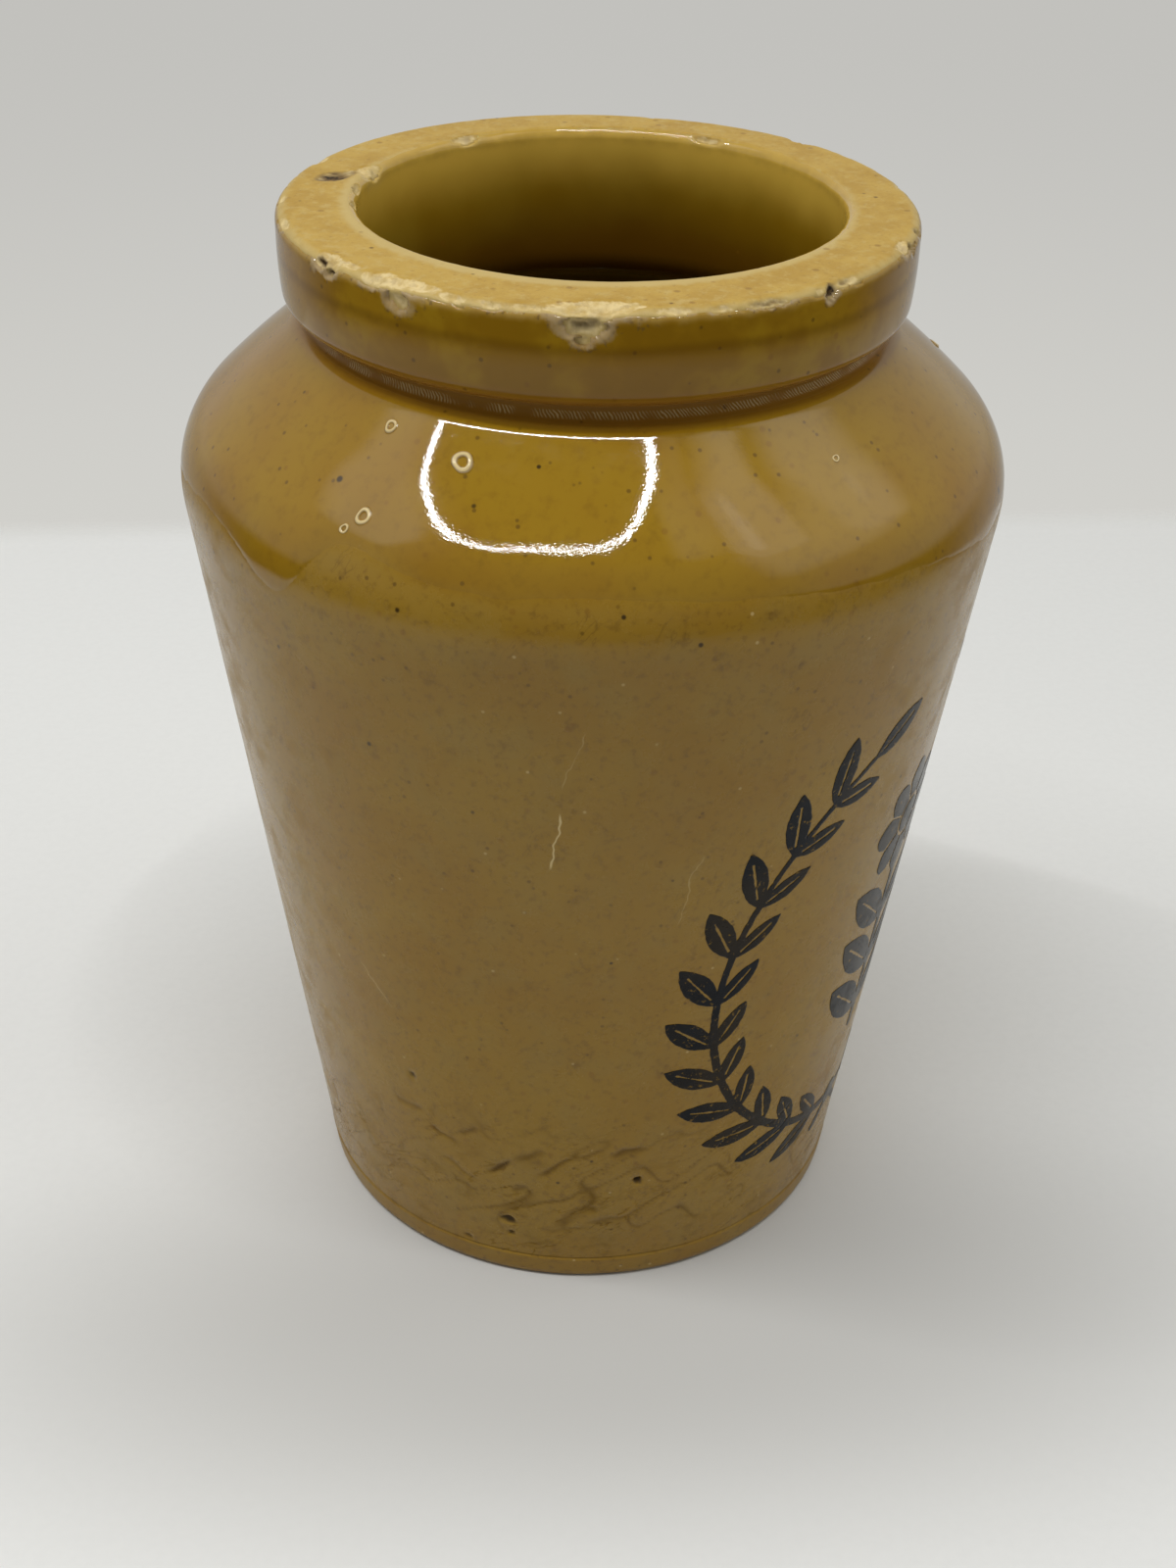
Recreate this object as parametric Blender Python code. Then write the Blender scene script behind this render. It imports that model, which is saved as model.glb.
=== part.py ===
"""A small glazed stoneware cream pot with a printed mark, modelled in metres with +Z up.

The origin is the middle of the base, on the surface that the pot stands on. The pot's axis is Z, and
the printed mark faces -Y. The fired clay is one turned piece. The coats of glaze on it, and the ink
that lies between clay and glaze, are thin pieces of their own.
"""

import math

import bmesh
import bpy
from mathutils import Vector
from mathutils.geometry import tessellate_polygon

# Heights of the sections of the outside, stacked from the base up to the rim
WALL_HEIGHT = 0.0876  # base to the corner where the lines of the wall and the shoulder meet
SHOULDER_RISE = 0.0113  # that corner to the lower edge of the groove
GROOVE_EDGE_RISE = 0.0006  # lower edge of the groove to its floor
GROOVE_HEIGHT = 0.0013  # upright floor of the groove
BAND_UNDERSIDE_RISE = 0.0005  # floor of the groove to the lower edge of the rim band
RIM_BAND_HEIGHT = 0.0087

# Radii of the outside, over the glaze
FOOT_RADIUS = 0.0291
SHOULDER_RADIUS = 0.04125  # at the corner where the lines of the wall and the shoulder meet
GROOVE_EDGE_RADIUS = 0.0290
NECK_RADIUS = 0.0274  # at the floor of the groove
RIM_RADIUS = 0.0302
BAND_TAPER = 0.0003  # how much less the rim band's radius is at its lower edge

# Roundings of the outside, over the glaze
RIM_ROUNDING = 0.0012
BAND_ROUNDING = 0.0015
GROOVE_TOP_ROUNDING = 0.0004
GROOVE_ROUNDING = 0.0009
GROOVE_EDGE_ROUNDING = 0.0035
SHOULDER_ROUNDING = 0.0099
HEEL_ROUNDING = 0.0026

# Inside, over the glaze
MOUTH_RADIUS = 0.0227
WALL = 0.0048  # thickness of the wall with its coats
SHOULDER_WALL = 0.0068  # the same for the shoulder, which thickens towards the neck
FLOOR = 0.0064
LIP_ROUNDING = 0.0018
THROAT_ROUNDING = 0.0040  # where the neck opens into the shoulder
INNER_SHOULDER_ROUNDING = 0.0060
FLOOR_ROUNDING = 0.0080

# Base
BEARING_WIDTH = 0.0075  # flat ring that the pot stands on
RECESS_DEPTH = 0.0008
RECESS_SLOPE = 0.0012  # width of the slope from the ring into the recess

# Coats of glaze
GLAZE = 0.0004
BOND = 0.0003  # space between the clay and a coat, in which the ink lies
BARE_RIM = 0.0008  # bare clay above the honey glaze
BARE_FOOT = 0.0014  # bare clay below the clear glaze
LINER_DROP = 0.0008  # upper edge of the inner coat, below the rim
DIP_DROP = 0.0026  # lower edge of the honey glaze, below the corner of the shoulder
GLAZE_SEAM = 0.0003  # space between the honey glaze and the clear glaze

# Printed mark: a leafy wreath round a flowering sprig, sized along the curved wall
INK = 0.0001
PRINT_MARGIN = 0.0052  # clear glaze above and below the mark
PRINT_HALF_WIDTH = 0.0306
STEM_WIDTH = 0.0011
LEAF_LENGTH = 0.0078
LEAF_WIDTH = 0.0028
LEAF_ANGLE = math.radians(38)  # between a leaf and its stem
INNER_LEAF_SHARE = 0.8  # size of the leaves inside the wreath against those outside
LEAF_PAIRS = 11
WREATH_START = math.radians(10)  # from the bottom of the wreath to its first leaves
WREATH_OPENING = math.radians(30)  # half of the gap at the top of the wreath
KNOT_SIZE = 0.0016
TAIL_LENGTH = 0.0036
SPRIG_HEIGHT = 0.0360
SPRIG_LEAF_LENGTH = 0.0105
SPRIG_LEAF_WIDTH = 0.0044
SPRIG_LEAF_PAIRS = 3
FLOWER_RADIUS = 0.0070
PETALS = 8
PETAL_DEPTH = 0.0020

# Fineness
SIDES = 48
ROUND_STEPS = 3
SHOULDER_STEPS = 7
FLOOR_STEPS = 4
PETAL_STEPS = 4
SMOOTH_ANGLE = math.radians(32)
SAME_POINT = 1e-6

# Heights that follow from the sizes above
GROOVE_EDGE_Z = WALL_HEIGHT + SHOULDER_RISE
GROOVE_FLOOR_Z = GROOVE_EDGE_Z + GROOVE_EDGE_RISE
GROOVE_TOP_Z = GROOVE_FLOOR_Z + GROOVE_HEIGHT
BAND_EDGE_Z = GROOVE_TOP_Z + BAND_UNDERSIDE_RISE
RIM_Z = BAND_EDGE_Z + RIM_BAND_HEIGHT
DIP_Z = WALL_HEIGHT - DIP_DROP
CLAY_DEPTH = GLAZE + BOND
INK_DEPTH = GLAZE + (BOND - INK) / 2
PRINT_Z = (BARE_FOOT + DIP_Z) / 2
PRINT_HALF_HEIGHT = (DIP_Z - BARE_FOOT) / 2 - PRINT_MARGIN


def clear_scene():
    for scene_object in list(bpy.data.objects):
        bpy.data.objects.remove(scene_object, do_unlink=True)


def srgb(red, green, blue):
    """The linear colour of display values from 0 to 255."""

    def linear(value):
        share = value / 255
        return share / 12.92 if share <= 0.04045 else ((share + 0.055) / 1.055) ** 2.4

    return (linear(red), linear(green), linear(blue), 1.0)


def material(name, colour, roughness, coat=0.0):
    made = bpy.data.materials.new(name)
    made.use_nodes = True
    shader = made.node_tree.nodes["Principled BSDF"]
    shader.inputs["Base Color"].default_value = colour
    shader.inputs["Roughness"].default_value = roughness
    shader.inputs["Metallic"].default_value = 0.0
    shader.inputs["Coat Weight"].default_value = coat
    made.diffuse_color = colour
    return made


class Corner:
    """A corner of the turned outline. coated says if the stretch after it carries glaze."""

    def __init__(self, radius, height, rounding=0.0, steps=1, coated=True):
        self.place = Vector((radius, height))
        self.rounding = rounding
        self.steps = steps
        self.coated = coated


def cross(a, b):
    return a.x * b.y - a.y * b.x


def line_meeting(point_a, along_a, point_b, along_b):
    """Where two lines meet, each given by a point and a direction."""
    share = cross(point_b - point_a, along_b) / cross(along_a, along_b)
    return point_a + along_a * share


def outward(along):
    """Out of the clay, for an outline that runs up the inside and down the outside."""
    return Vector((-along.y, along.x))


def pushed_in(corners, depth):
    """The corners with every coated stretch moved into the clay by depth."""
    lines = []
    for corner, after in zip(corners, corners[1:]):
        along = (after.place - corner.place).normalized()
        shift = -depth if corner.coated else 0.0
        lines.append((corner.place + outward(along) * shift, along, shift))
    first_point, first_along, _ = lines[0]
    moved = [Corner(*first_point, coated=corners[0].coated)]
    for corner, line_in, line_out in zip(corners[1:], lines, lines[1:]):
        place = line_meeting(line_in[0], line_in[1], line_out[0], line_out[1])
        shift = (line_in[2] + line_out[2]) / 2
        hollow = cross(line_in[1], line_out[1]) > 0
        rounding = corner.rounding - shift if hollow else corner.rounding + shift
        moved.append(Corner(*place, max(rounding, 0.0), corner.steps, corner.coated))
    last_point, last_along, _ = lines[-1]
    length = (corners[-1].place - corners[-2].place).length
    moved.append(Corner(*(last_point + last_along * length)))
    return moved


def rounded(corners):
    """Points along the outline, with an arc at each corner that has a rounding."""
    points = [corners[0].place]
    for before, corner, after in zip(corners, corners[1:], corners[2:]):
        to_corner = corner.place - before.place
        from_corner = after.place - corner.place
        turn = to_corner.angle(from_corner)
        longest = min(to_corner.length, from_corner.length) * 0.49
        reach = min(corner.rounding * math.tan(turn / 2), longest)
        if reach < SAME_POINT:
            points.append(corner.place)
            continue
        start = corner.place - to_corner.normalized() * reach
        radius = reach / math.tan(turn / 2)
        side = 1.0 if cross(to_corner, from_corner) > 0 else -1.0
        centre = start + outward(to_corner.normalized()) * radius * side
        spoke = start - centre
        for step in range(corner.steps + 1):
            angle = side * turn * step / corner.steps
            turned_spoke = Vector(
                (
                    spoke.x * math.cos(angle) - spoke.y * math.sin(angle),
                    spoke.x * math.sin(angle) + spoke.y * math.cos(angle),
                )
            )
            points.append(centre + turned_spoke)
    points.append(corners[-1].place)
    return points


def trimmed(points, low, high):
    """The stretch of an outline between two heights, cut level at both."""
    kept = []
    for start, end in zip(points, points[1:]):
        if max(start.y, end.y) < low or min(start.y, end.y) > high:
            continue
        for point, other in ((start, end), (end, start)):
            height = min(max(point.y, low), high)
            rise = other.y - point.y
            share = (height - point.y) / rise if abs(rise) > SAME_POINT else 0.0
            on_line = point.lerp(other, share)
            if not kept or (on_line - kept[-1]).length > SAME_POINT:
                kept.append(on_line)
    return kept


def inside_corners():
    """Floor centre up to the middle of the rim's top, in step with the outside wall."""
    foot = Vector((FOOT_RADIUS, 0.0))
    shoulder = Vector((SHOULDER_RADIUS, WALL_HEIGHT))
    groove_edge = Vector((GROOVE_EDGE_RADIUS, GROOVE_EDGE_Z))
    wall_along = (foot - shoulder).normalized()
    shoulder_along = (shoulder - groove_edge).normalized()
    wall_point = foot - outward(wall_along) * WALL
    shoulder_point = shoulder - outward(shoulder_along) * SHOULDER_WALL
    level = Vector((1.0, 0.0))
    upright = Vector((0.0, 1.0))
    floor_corner = line_meeting(wall_point, wall_along, Vector((0.0, FLOOR)), level)
    widest = line_meeting(wall_point, wall_along, shoulder_point, shoulder_along)
    throat = line_meeting(shoulder_point, shoulder_along, Vector((MOUTH_RADIUS, 0.0)), upright)
    return [
        Corner(0.0, FLOOR),
        Corner(*floor_corner, FLOOR_ROUNDING, FLOOR_STEPS),
        Corner(*widest, INNER_SHOULDER_ROUNDING, FLOOR_STEPS),
        Corner(*throat, THROAT_ROUNDING, ROUND_STEPS),
        Corner(MOUTH_RADIUS, RIM_Z, LIP_ROUNDING, ROUND_STEPS, coated=False),
        Corner((MOUTH_RADIUS + RIM_RADIUS) / 2, RIM_Z),
    ]


def outside_corners():
    """The middle of the rim's top down to the flat ring of the base."""
    bearing_middle = FOOT_RADIUS - HEEL_ROUNDING - BEARING_WIDTH / 2
    return [
        Corner((MOUTH_RADIUS + RIM_RADIUS) / 2, RIM_Z, coated=False),
        Corner(RIM_RADIUS, RIM_Z, RIM_ROUNDING, ROUND_STEPS),
        Corner(RIM_RADIUS - BAND_TAPER, BAND_EDGE_Z, BAND_ROUNDING, ROUND_STEPS),
        Corner(NECK_RADIUS, GROOVE_TOP_Z, GROOVE_TOP_ROUNDING, 1),
        Corner(NECK_RADIUS, GROOVE_FLOOR_Z, GROOVE_ROUNDING, 2),
        Corner(GROOVE_EDGE_RADIUS, GROOVE_EDGE_Z, GROOVE_EDGE_ROUNDING, 2),
        Corner(SHOULDER_RADIUS, WALL_HEIGHT, SHOULDER_ROUNDING, SHOULDER_STEPS),
        Corner(FOOT_RADIUS, 0.0, HEEL_ROUNDING, ROUND_STEPS, coated=False),
        Corner(bearing_middle, 0.0),
    ]


def outside(depth):
    return rounded(pushed_in(outside_corners(), depth))


def inside(depth):
    return rounded(pushed_in(inside_corners(), depth))


def base_points():
    """From the inner edge of the flat ring to the middle of the recess."""
    ring_edge = FOOT_RADIUS - HEEL_ROUNDING - BEARING_WIDTH
    return [
        Vector((ring_edge, 0.0)),
        Vector((ring_edge - RECESS_SLOPE, RECESS_DEPTH)),
        Vector((0.0, RECESS_DEPTH)),
    ]


def turned(name, outline, finish, closed):
    """A turned piece: the outline, as radius and height, spun round the pot's axis."""
    mesh = bpy.data.meshes.new(name)
    shape = bmesh.new()
    points = [shape.verts.new((point.x, 0.0, point.y)) for point in outline]
    edges = [shape.edges.new(pair) for pair in zip(points, points[1:])]
    if closed:
        edges.append(shape.edges.new((points[-1], points[0])))
    bmesh.ops.spin(
        shape,
        geom=points + edges,
        cent=(0.0, 0.0, 0.0),
        axis=(0.0, 0.0, 1.0),
        angle=math.tau,
        steps=SIDES,
        use_merge=True,
    )
    bmesh.ops.remove_doubles(shape, verts=shape.verts[:], dist=SAME_POINT)
    bmesh.ops.recalc_face_normals(shape, faces=shape.faces[:])
    shape.to_mesh(mesh)
    shape.free()
    mesh.shade_smooth()
    mesh.set_sharp_from_angle(angle=SMOOTH_ANGLE)
    mesh.materials.append(finish)
    piece = bpy.data.objects.new(name, mesh)
    bpy.context.scene.collection.objects.link(piece)
    return piece


def make_body(finish):
    outline = inside(CLAY_DEPTH)[:-1] + outside(CLAY_DEPTH)[1:-1] + base_points()
    return turned("stoneware_body", outline, finish, closed=False)


def coat(name, surface, low, high, finish):
    """A closed skin of glaze between two heights, on the inside or the outside of the pot."""
    outer = trimmed(surface(0.0), low, high)
    inner = trimmed(surface(GLAZE), low, high)
    return turned(name, outer + inner[::-1], finish, closed=True)


def make_inner_glaze(finish):
    top = RIM_Z - LINER_DROP
    over = trimmed(inside(0.0), 0.0, top)
    under = trimmed(inside(GLAZE), 0.0, top)
    return turned("inner_glaze", over + under[::-1], finish, closed=False)


def leaf(base, along, length, width):
    """Half-round leaf from its base to its tip and back, anticlockwise."""
    across = Vector((-along.y, along.x))
    half_widths = ((0.0, 0.16), (0.22, 0.42), (0.50, 0.50), (0.80, 0.27))
    near = [base + along * length * s - across * width * w for s, w in half_widths]
    far = [base + along * length * s + across * width * w for s, w in half_widths]
    return near + [base + along * length] + far[::-1]


def turned_by(direction, angle):
    cosine = math.cos(angle)
    sine = math.sin(angle)
    x = direction.x * cosine - direction.y * sine
    y = direction.x * sine + direction.y * cosine
    return Vector((x, y))


def mirrored(right_half):
    """A closed outline from its right half, which starts and ends on the middle line."""
    left_half = [Vector((-point.x, point.y)) for point in right_half[-2:0:-1]]
    return right_half + left_half


def wreath_outline():
    """Two leafy branches, tied at the bottom and open at the top, as one outline."""
    leaf_reach = LEAF_LENGTH * math.sin(LEAF_ANGLE) + STEM_WIDTH / 2
    half_width = PRINT_HALF_WIDTH - leaf_reach
    half_height = PRINT_HALF_HEIGHT - leaf_reach
    span = math.pi - WREATH_OPENING - WREATH_START

    def stem(share):
        angle = WREATH_START + span * share
        place = Vector((half_width * math.sin(angle), -half_height * math.cos(angle)))
        along = Vector((half_width * math.cos(angle), half_height * math.sin(angle)))
        return place, along.normalized()

    outer_side = [
        Vector((0.0, -half_height - KNOT_SIZE)),
        Vector((TAIL_LENGTH * 0.7, -half_height - TAIL_LENGTH)),
        Vector((TAIL_LENGTH, -half_height - TAIL_LENGTH * 0.8)),
        Vector((KNOT_SIZE, -half_height - STEM_WIDTH)),
    ]
    inner_side = [Vector((0.0, -half_height + KNOT_SIZE))]
    for index in range(LEAF_PAIRS):
        place, along = stem(index / LEAF_PAIRS)
        across = Vector((-along.y, along.x))
        to_right = turned_by(along, -LEAF_ANGLE)
        to_left = turned_by(along, LEAF_ANGLE)
        right_base = place - across * STEM_WIDTH / 2
        left_base = place + across * STEM_WIDTH / 2
        outer_side += leaf(right_base, to_right, LEAF_LENGTH, LEAF_WIDTH)
        inner_length = LEAF_LENGTH * INNER_LEAF_SHARE
        inner_width = LEAF_WIDTH * INNER_LEAF_SHARE
        inner_side += leaf(left_base, to_left, inner_length, inner_width)[::-1]
    place, along = stem(1.0)
    tip = leaf(place, along, LEAF_LENGTH, LEAF_WIDTH)
    return mirrored(outer_side + tip + inner_side[::-1])


def sprig_outline():
    """An upright stem with paired leaves under a round flower, as one outline."""
    bottom = -SPRIG_HEIGHT / 2
    flower_y = SPRIG_HEIGHT / 2 - FLOWER_RADIUS
    stem_length = SPRIG_HEIGHT - FLOWER_RADIUS * 2
    right_half = [Vector((0.0, bottom)), Vector((STEM_WIDTH / 2, bottom))]
    for index in range(SPRIG_LEAF_PAIRS):
        height = bottom + stem_length * (index + 0.5) / (SPRIG_LEAF_PAIRS + 0.5)
        direction = turned_by(Vector((0.0, 1.0)), -LEAF_ANGLE * 1.3)
        base = Vector((STEM_WIDTH / 2, height))
        right_half += leaf(base, direction, SPRIG_LEAF_LENGTH, SPRIG_LEAF_WIDTH)
    steps = PETALS * PETAL_STEPS // 2
    first = math.asin(STEM_WIDTH / 2 / (FLOWER_RADIUS - PETAL_DEPTH))
    for step in range(steps + 1):
        angle = max(first, math.pi * step / steps)
        radius = FLOWER_RADIUS - PETAL_DEPTH * (1 - abs(math.sin(angle * PETALS / 2)))
        sideways = radius * math.sin(angle) if step < steps else 0.0
        right_half.append(Vector((sideways, flower_y - radius * math.cos(angle))))
    return mirrored(right_half)


def on_side(angle, height, depth):
    """A point on one of the wall's flat sides, moved into the wall by depth."""
    slope = math.atan2(SHOULDER_RADIUS - FOOT_RADIUS, WALL_HEIGHT)
    side = math.tau / SIDES
    middle = (math.floor(angle / side) + 0.5) * side
    edge_radius = FOOT_RADIUS + math.tan(slope) * height - depth / math.cos(slope)
    radius = edge_radius * math.cos(side / 2) / math.cos(angle - middle)
    return (radius * math.sin(angle), -radius * math.cos(angle), height)


def unrolled(point):
    """A point of the mark, given by distances along the wall, as an angle and a height."""
    slope = math.atan2(SHOULDER_RADIUS - FOOT_RADIUS, WALL_HEIGHT)
    height = PRINT_Z + point.y * math.cos(slope)
    return (point.x / (FOOT_RADIUS + math.tan(slope) * height), 0.0, height)


def make_print(name, outline, finish):
    """A film of ink with the given outline, lying between the clay and the clear glaze."""
    flat = bmesh.new()
    corners = [flat.verts.new(unrolled(point)) for point in outline]
    for triangle in tessellate_polygon([[point.to_3d() for point in outline]]):
        flat.faces.new([corners[index] for index in triangle])
    for side in range(-SIDES // 4, SIDES // 4 + 1):
        bmesh.ops.bisect_plane(
            flat,
            geom=flat.verts[:] + flat.edges[:] + flat.faces[:],
            dist=SAME_POINT,
            plane_co=(math.tau * side / SIDES, 0.0, 0.0),
            plane_no=(1.0, 0.0, 0.0),
        )
    shape = bmesh.new()
    over = {}
    under = {}
    for point in flat.verts:
        angle, _, height = point.co
        over[point] = shape.verts.new(on_side(angle, height, INK_DEPTH))
        under[point] = shape.verts.new(on_side(angle, height, INK_DEPTH + INK))
    for face in flat.faces:
        shape.faces.new([over[point] for point in face.verts])
        shape.faces.new([under[point] for point in face.verts])
    for edge in flat.edges:
        if edge.is_boundary:
            start, end = edge.verts
            shape.faces.new((over[start], over[end], under[end], under[start]))
    flat.free()
    bmesh.ops.recalc_face_normals(shape, faces=shape.faces[:])
    mesh = bpy.data.meshes.new(name)
    shape.to_mesh(mesh)
    shape.free()
    mesh.shade_smooth()
    mesh.set_sharp_from_angle(angle=SMOOTH_ANGLE)
    mesh.materials.append(finish)
    film = bpy.data.objects.new(name, mesh)
    bpy.context.scene.collection.objects.link(film)
    return film


def main():
    clear_scene()
    clay = material("Fired clay", srgb(208, 163, 104), 0.55)
    honey = material("Honey glaze", srgb(163, 124, 52), 0.12, coat=0.5)
    clear = material("Clear glaze", srgb(173, 135, 80), 0.22, coat=0.3)
    liner = material("Inner glaze", srgb(158, 130, 56), 0.12, coat=0.5)
    ink = material("Blue black ink", srgb(62, 68, 72), 0.35)
    pot = bpy.data.objects.new("cream_pot", None)
    bpy.context.scene.collection.objects.link(pot)
    pieces = [
        make_body(clay),
        coat("honey_glaze", outside, DIP_Z, RIM_Z - BARE_RIM, honey),
        coat("clear_wall_glaze", outside, BARE_FOOT, DIP_Z - GLAZE_SEAM, clear),
        make_inner_glaze(liner),
        make_print("printed_wreath", wreath_outline(), ink),
        make_print("printed_sprig", sprig_outline(), ink),
    ]
    for piece in pieces:
        piece.parent = pot


main()
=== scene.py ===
"""Looks of the small glazed stoneware cream pot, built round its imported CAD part.

Lengths are in millimetres, and become metres where a mesh, a lamp or a shader is made. A place on
the pot is given by its bearing and its run. The bearing is in degrees round the axis, from the
middle of the printed mark (-Y) towards +X. The run is the distance along the outline: 0 in the
middle of the rim's flat top, positive over the outside down to the middle of the base, and
negative down the inside to the middle of the floor.
"""

import functools
import math

import bpy
import numpy as np
from mathutils import Matrix, Vector


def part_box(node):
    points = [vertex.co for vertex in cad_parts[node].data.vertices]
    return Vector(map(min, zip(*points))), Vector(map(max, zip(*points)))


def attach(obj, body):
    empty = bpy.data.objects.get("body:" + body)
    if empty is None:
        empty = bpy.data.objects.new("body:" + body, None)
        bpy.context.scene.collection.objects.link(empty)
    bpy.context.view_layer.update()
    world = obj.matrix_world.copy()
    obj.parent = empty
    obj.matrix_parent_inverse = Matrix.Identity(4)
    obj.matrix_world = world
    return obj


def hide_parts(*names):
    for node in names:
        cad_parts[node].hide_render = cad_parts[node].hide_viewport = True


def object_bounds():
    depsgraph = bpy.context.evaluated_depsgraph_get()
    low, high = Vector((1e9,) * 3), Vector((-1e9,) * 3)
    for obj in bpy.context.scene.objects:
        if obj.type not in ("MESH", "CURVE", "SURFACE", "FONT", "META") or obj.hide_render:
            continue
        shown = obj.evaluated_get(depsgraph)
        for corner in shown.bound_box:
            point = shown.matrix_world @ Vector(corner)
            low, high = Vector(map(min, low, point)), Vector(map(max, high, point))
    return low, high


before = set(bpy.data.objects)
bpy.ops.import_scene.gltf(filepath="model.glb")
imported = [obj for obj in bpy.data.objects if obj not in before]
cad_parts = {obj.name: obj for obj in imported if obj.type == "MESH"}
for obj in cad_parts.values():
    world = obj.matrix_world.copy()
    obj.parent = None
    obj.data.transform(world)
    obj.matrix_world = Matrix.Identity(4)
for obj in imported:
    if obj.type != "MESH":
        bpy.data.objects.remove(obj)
CAD_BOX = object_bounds()

MM = 0.001
RIM_Z = CAD_BOX[1].z / MM
WALL_COAT_LOW_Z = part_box("clear_wall_glaze")[0].z / MM
LINER_TOP_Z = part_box("inner_glaze")[1].z / MM
MARK_LOW_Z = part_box("printed_wreath")[0].z / MM
MARK_HIGH_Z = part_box("printed_wreath")[1].z / MM

# The finished outline, as radius, height and rounding of each corner
RIM_MIDDLE = 26.45
RIM_RADIUS = 30.2
RIM_ROUNDING = 1.2
MOUTH_RADIUS = 23.0
LIP_ROUNDING = 1.1
FLANK = (35.25, 93.54, 90.0)  # the slope of the shoulder is slightly full
SHOULDER = (41.25, 87.6, 9.9)
FOOT = (29.1, 0.0, 0.8)
OUTER_CORNERS = (
    (RIM_MIDDLE, RIM_Z, 0.0),
    (RIM_RADIUS, RIM_Z, RIM_ROUNDING),
    (29.9, 101.3, 1.5),
    (27.4, 100.8, 0.4),
    (27.4, 99.5, 0.9),
    (29.0, 98.9, 3.5),
    FLANK,
    SHOULDER,
    FOOT,
    (19.0, 0.0, 0.3),
    (17.8, 0.8, 0.5),
    (0.0, 0.8, 0.0),
)
INNER_CORNERS = (
    (RIM_MIDDLE, RIM_Z, 0.0),
    (MOUTH_RADIUS, RIM_Z, LIP_ROUNDING),
    (MOUTH_RADIUS, 95.46, 4.0),
    (35.82, 83.36, 6.0),
    (25.14, 6.4, 8.0),
    (0.0, 6.4, 0.0),
)
OUTLINE_STEP = 0.04
ARC_STEP = math.radians(0.6)
OUTSIDE_LENGTH = 118.0  # from the middle of the rim to the ring that the pot stands on
MOUTH_OFF_CENTRE = (1.15, 0.25)  # the mouth was cut a little to one side

# The side that the photograph shows, and the fineness of the meshes there and elsewhere
SEEN_BEARING = -64.5
SEEN_HALF_WIDTH = 76.0
GRADING = 0.06  # growth of a step for each unit of distance from a fine zone

# Thickness of the coats in the pictures, where their edges show
UNDER_COAT = 0.30  # from the finished surface to the clay below a coat
COAT_BACK = 2.1  # from the finished surface to the back of a coat, below the deepest chip
CHIP_LIMIT = 1.35
UNDER_WALL = 0.95  # the same below the wall's glaze, whose pits are deep
HEEL_STEP = 0.03  # the clay of the heel lies this much lower than the wall's glaze
WALL_STEP = 0.05  # the wall's surface lies this much lower than the honey glaze beside it
HONEY_EDGE = 0.36  # how far the honey glaze dives at the rim's edge
HONEY_FOOT = 0.28  # and at its rounded lower edge
LINER_EDGE = 0.16  # how far the inner glaze dives at the lip
THROWING_PITCH = 5.2  # between the rings that the potter's fingers left inside
HEEL_HIGH_Z = 40.0  # below this, the clay's outside follows the wall's glaze


# ---- Noise that is the same on every run ----


def lattice(cell, seed):
    """A number from -1 to 1 for each corner of a grid of unit cells."""
    mixed = cell[..., 0] * 374761393 + cell[..., 1] * 668265263 + cell[..., 2] * 1440662683
    mixed = (mixed + seed * 974634777) & 0xFFFFFFFF
    mixed = ((mixed ^ (mixed >> 13)) * 1274126177) & 0xFFFFFFFF
    return ((mixed ^ (mixed >> 16)) & 0xFFFF) / 32767.5 - 1.0


def noise(points, size, seed=0):
    """Smooth noise from -1 to 1 at points, with bumps about as wide as size."""
    scaled = points / size
    base = np.floor(scaled).astype(np.int64)
    part = scaled - base
    part = part * part * part * (part * (part * 6 - 15) + 10)
    total = 0.0
    for corner in range(8):
        pick = np.array([corner & 1, corner >> 1 & 1, corner >> 2 & 1])
        weight = np.prod(np.where(pick == 1, part, 1 - part), axis=-1)
        total = total + weight * lattice(base + pick, seed)
    return total


def fractal(points, size, octaves, seed=0):
    """Noise with finer and weaker noise added, from about -1 to 1."""
    total = 0.0
    for octave in range(octaves):
        total = total + noise(points, size / 2**octave, seed + octave * 17) / 2**octave
    return total / (2 - 0.5 ** (octaves - 1))


def smooth(value, low, high):
    """0 below low and 1 above high, with a smooth rise between them."""
    share = np.clip((value - low) / (high - low), 0.0, 1.0)
    return share * share * (3 - 2 * share)


def hump(value, width):
    """1 at 0, falling away smoothly to both sides over a width."""
    return np.exp(-((value / width) ** 2))


# ---- The outline ----


def rounded(corners):
    """The points of an outline whose corners are drawn as arcs."""
    corners = np.array(corners)
    points = [corners[:1, :2]]
    for before, corner, after in zip(corners, corners[1:], corners[2:]):
        here, rounding = corner[:2], corner[2]
        sides = np.array([before[:2] - here, after[:2] - here])
        sides /= np.hypot(*sides.T)[:, None]
        half = math.acos(np.clip(sides[0] @ sides[1], -1, 1)) / 2
        inward = sides.sum(axis=0)
        middle = here + inward / np.hypot(*inward) * rounding / math.sin(half)
        ends = here + sides * rounding / math.tan(half) - middle
        first, last = np.arctan2(ends[:, 1], ends[:, 0])
        turn = (last - first + math.pi) % math.tau - math.pi
        steps = max(3, math.ceil(abs(turn) / ARC_STEP))
        angles = first + turn * np.linspace(0, 1, steps + 1)
        points.append(middle + rounding * np.stack([np.cos(angles), np.sin(angles)], axis=1))
    return np.vstack([*points, corners[-1:, :2]])


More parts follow.
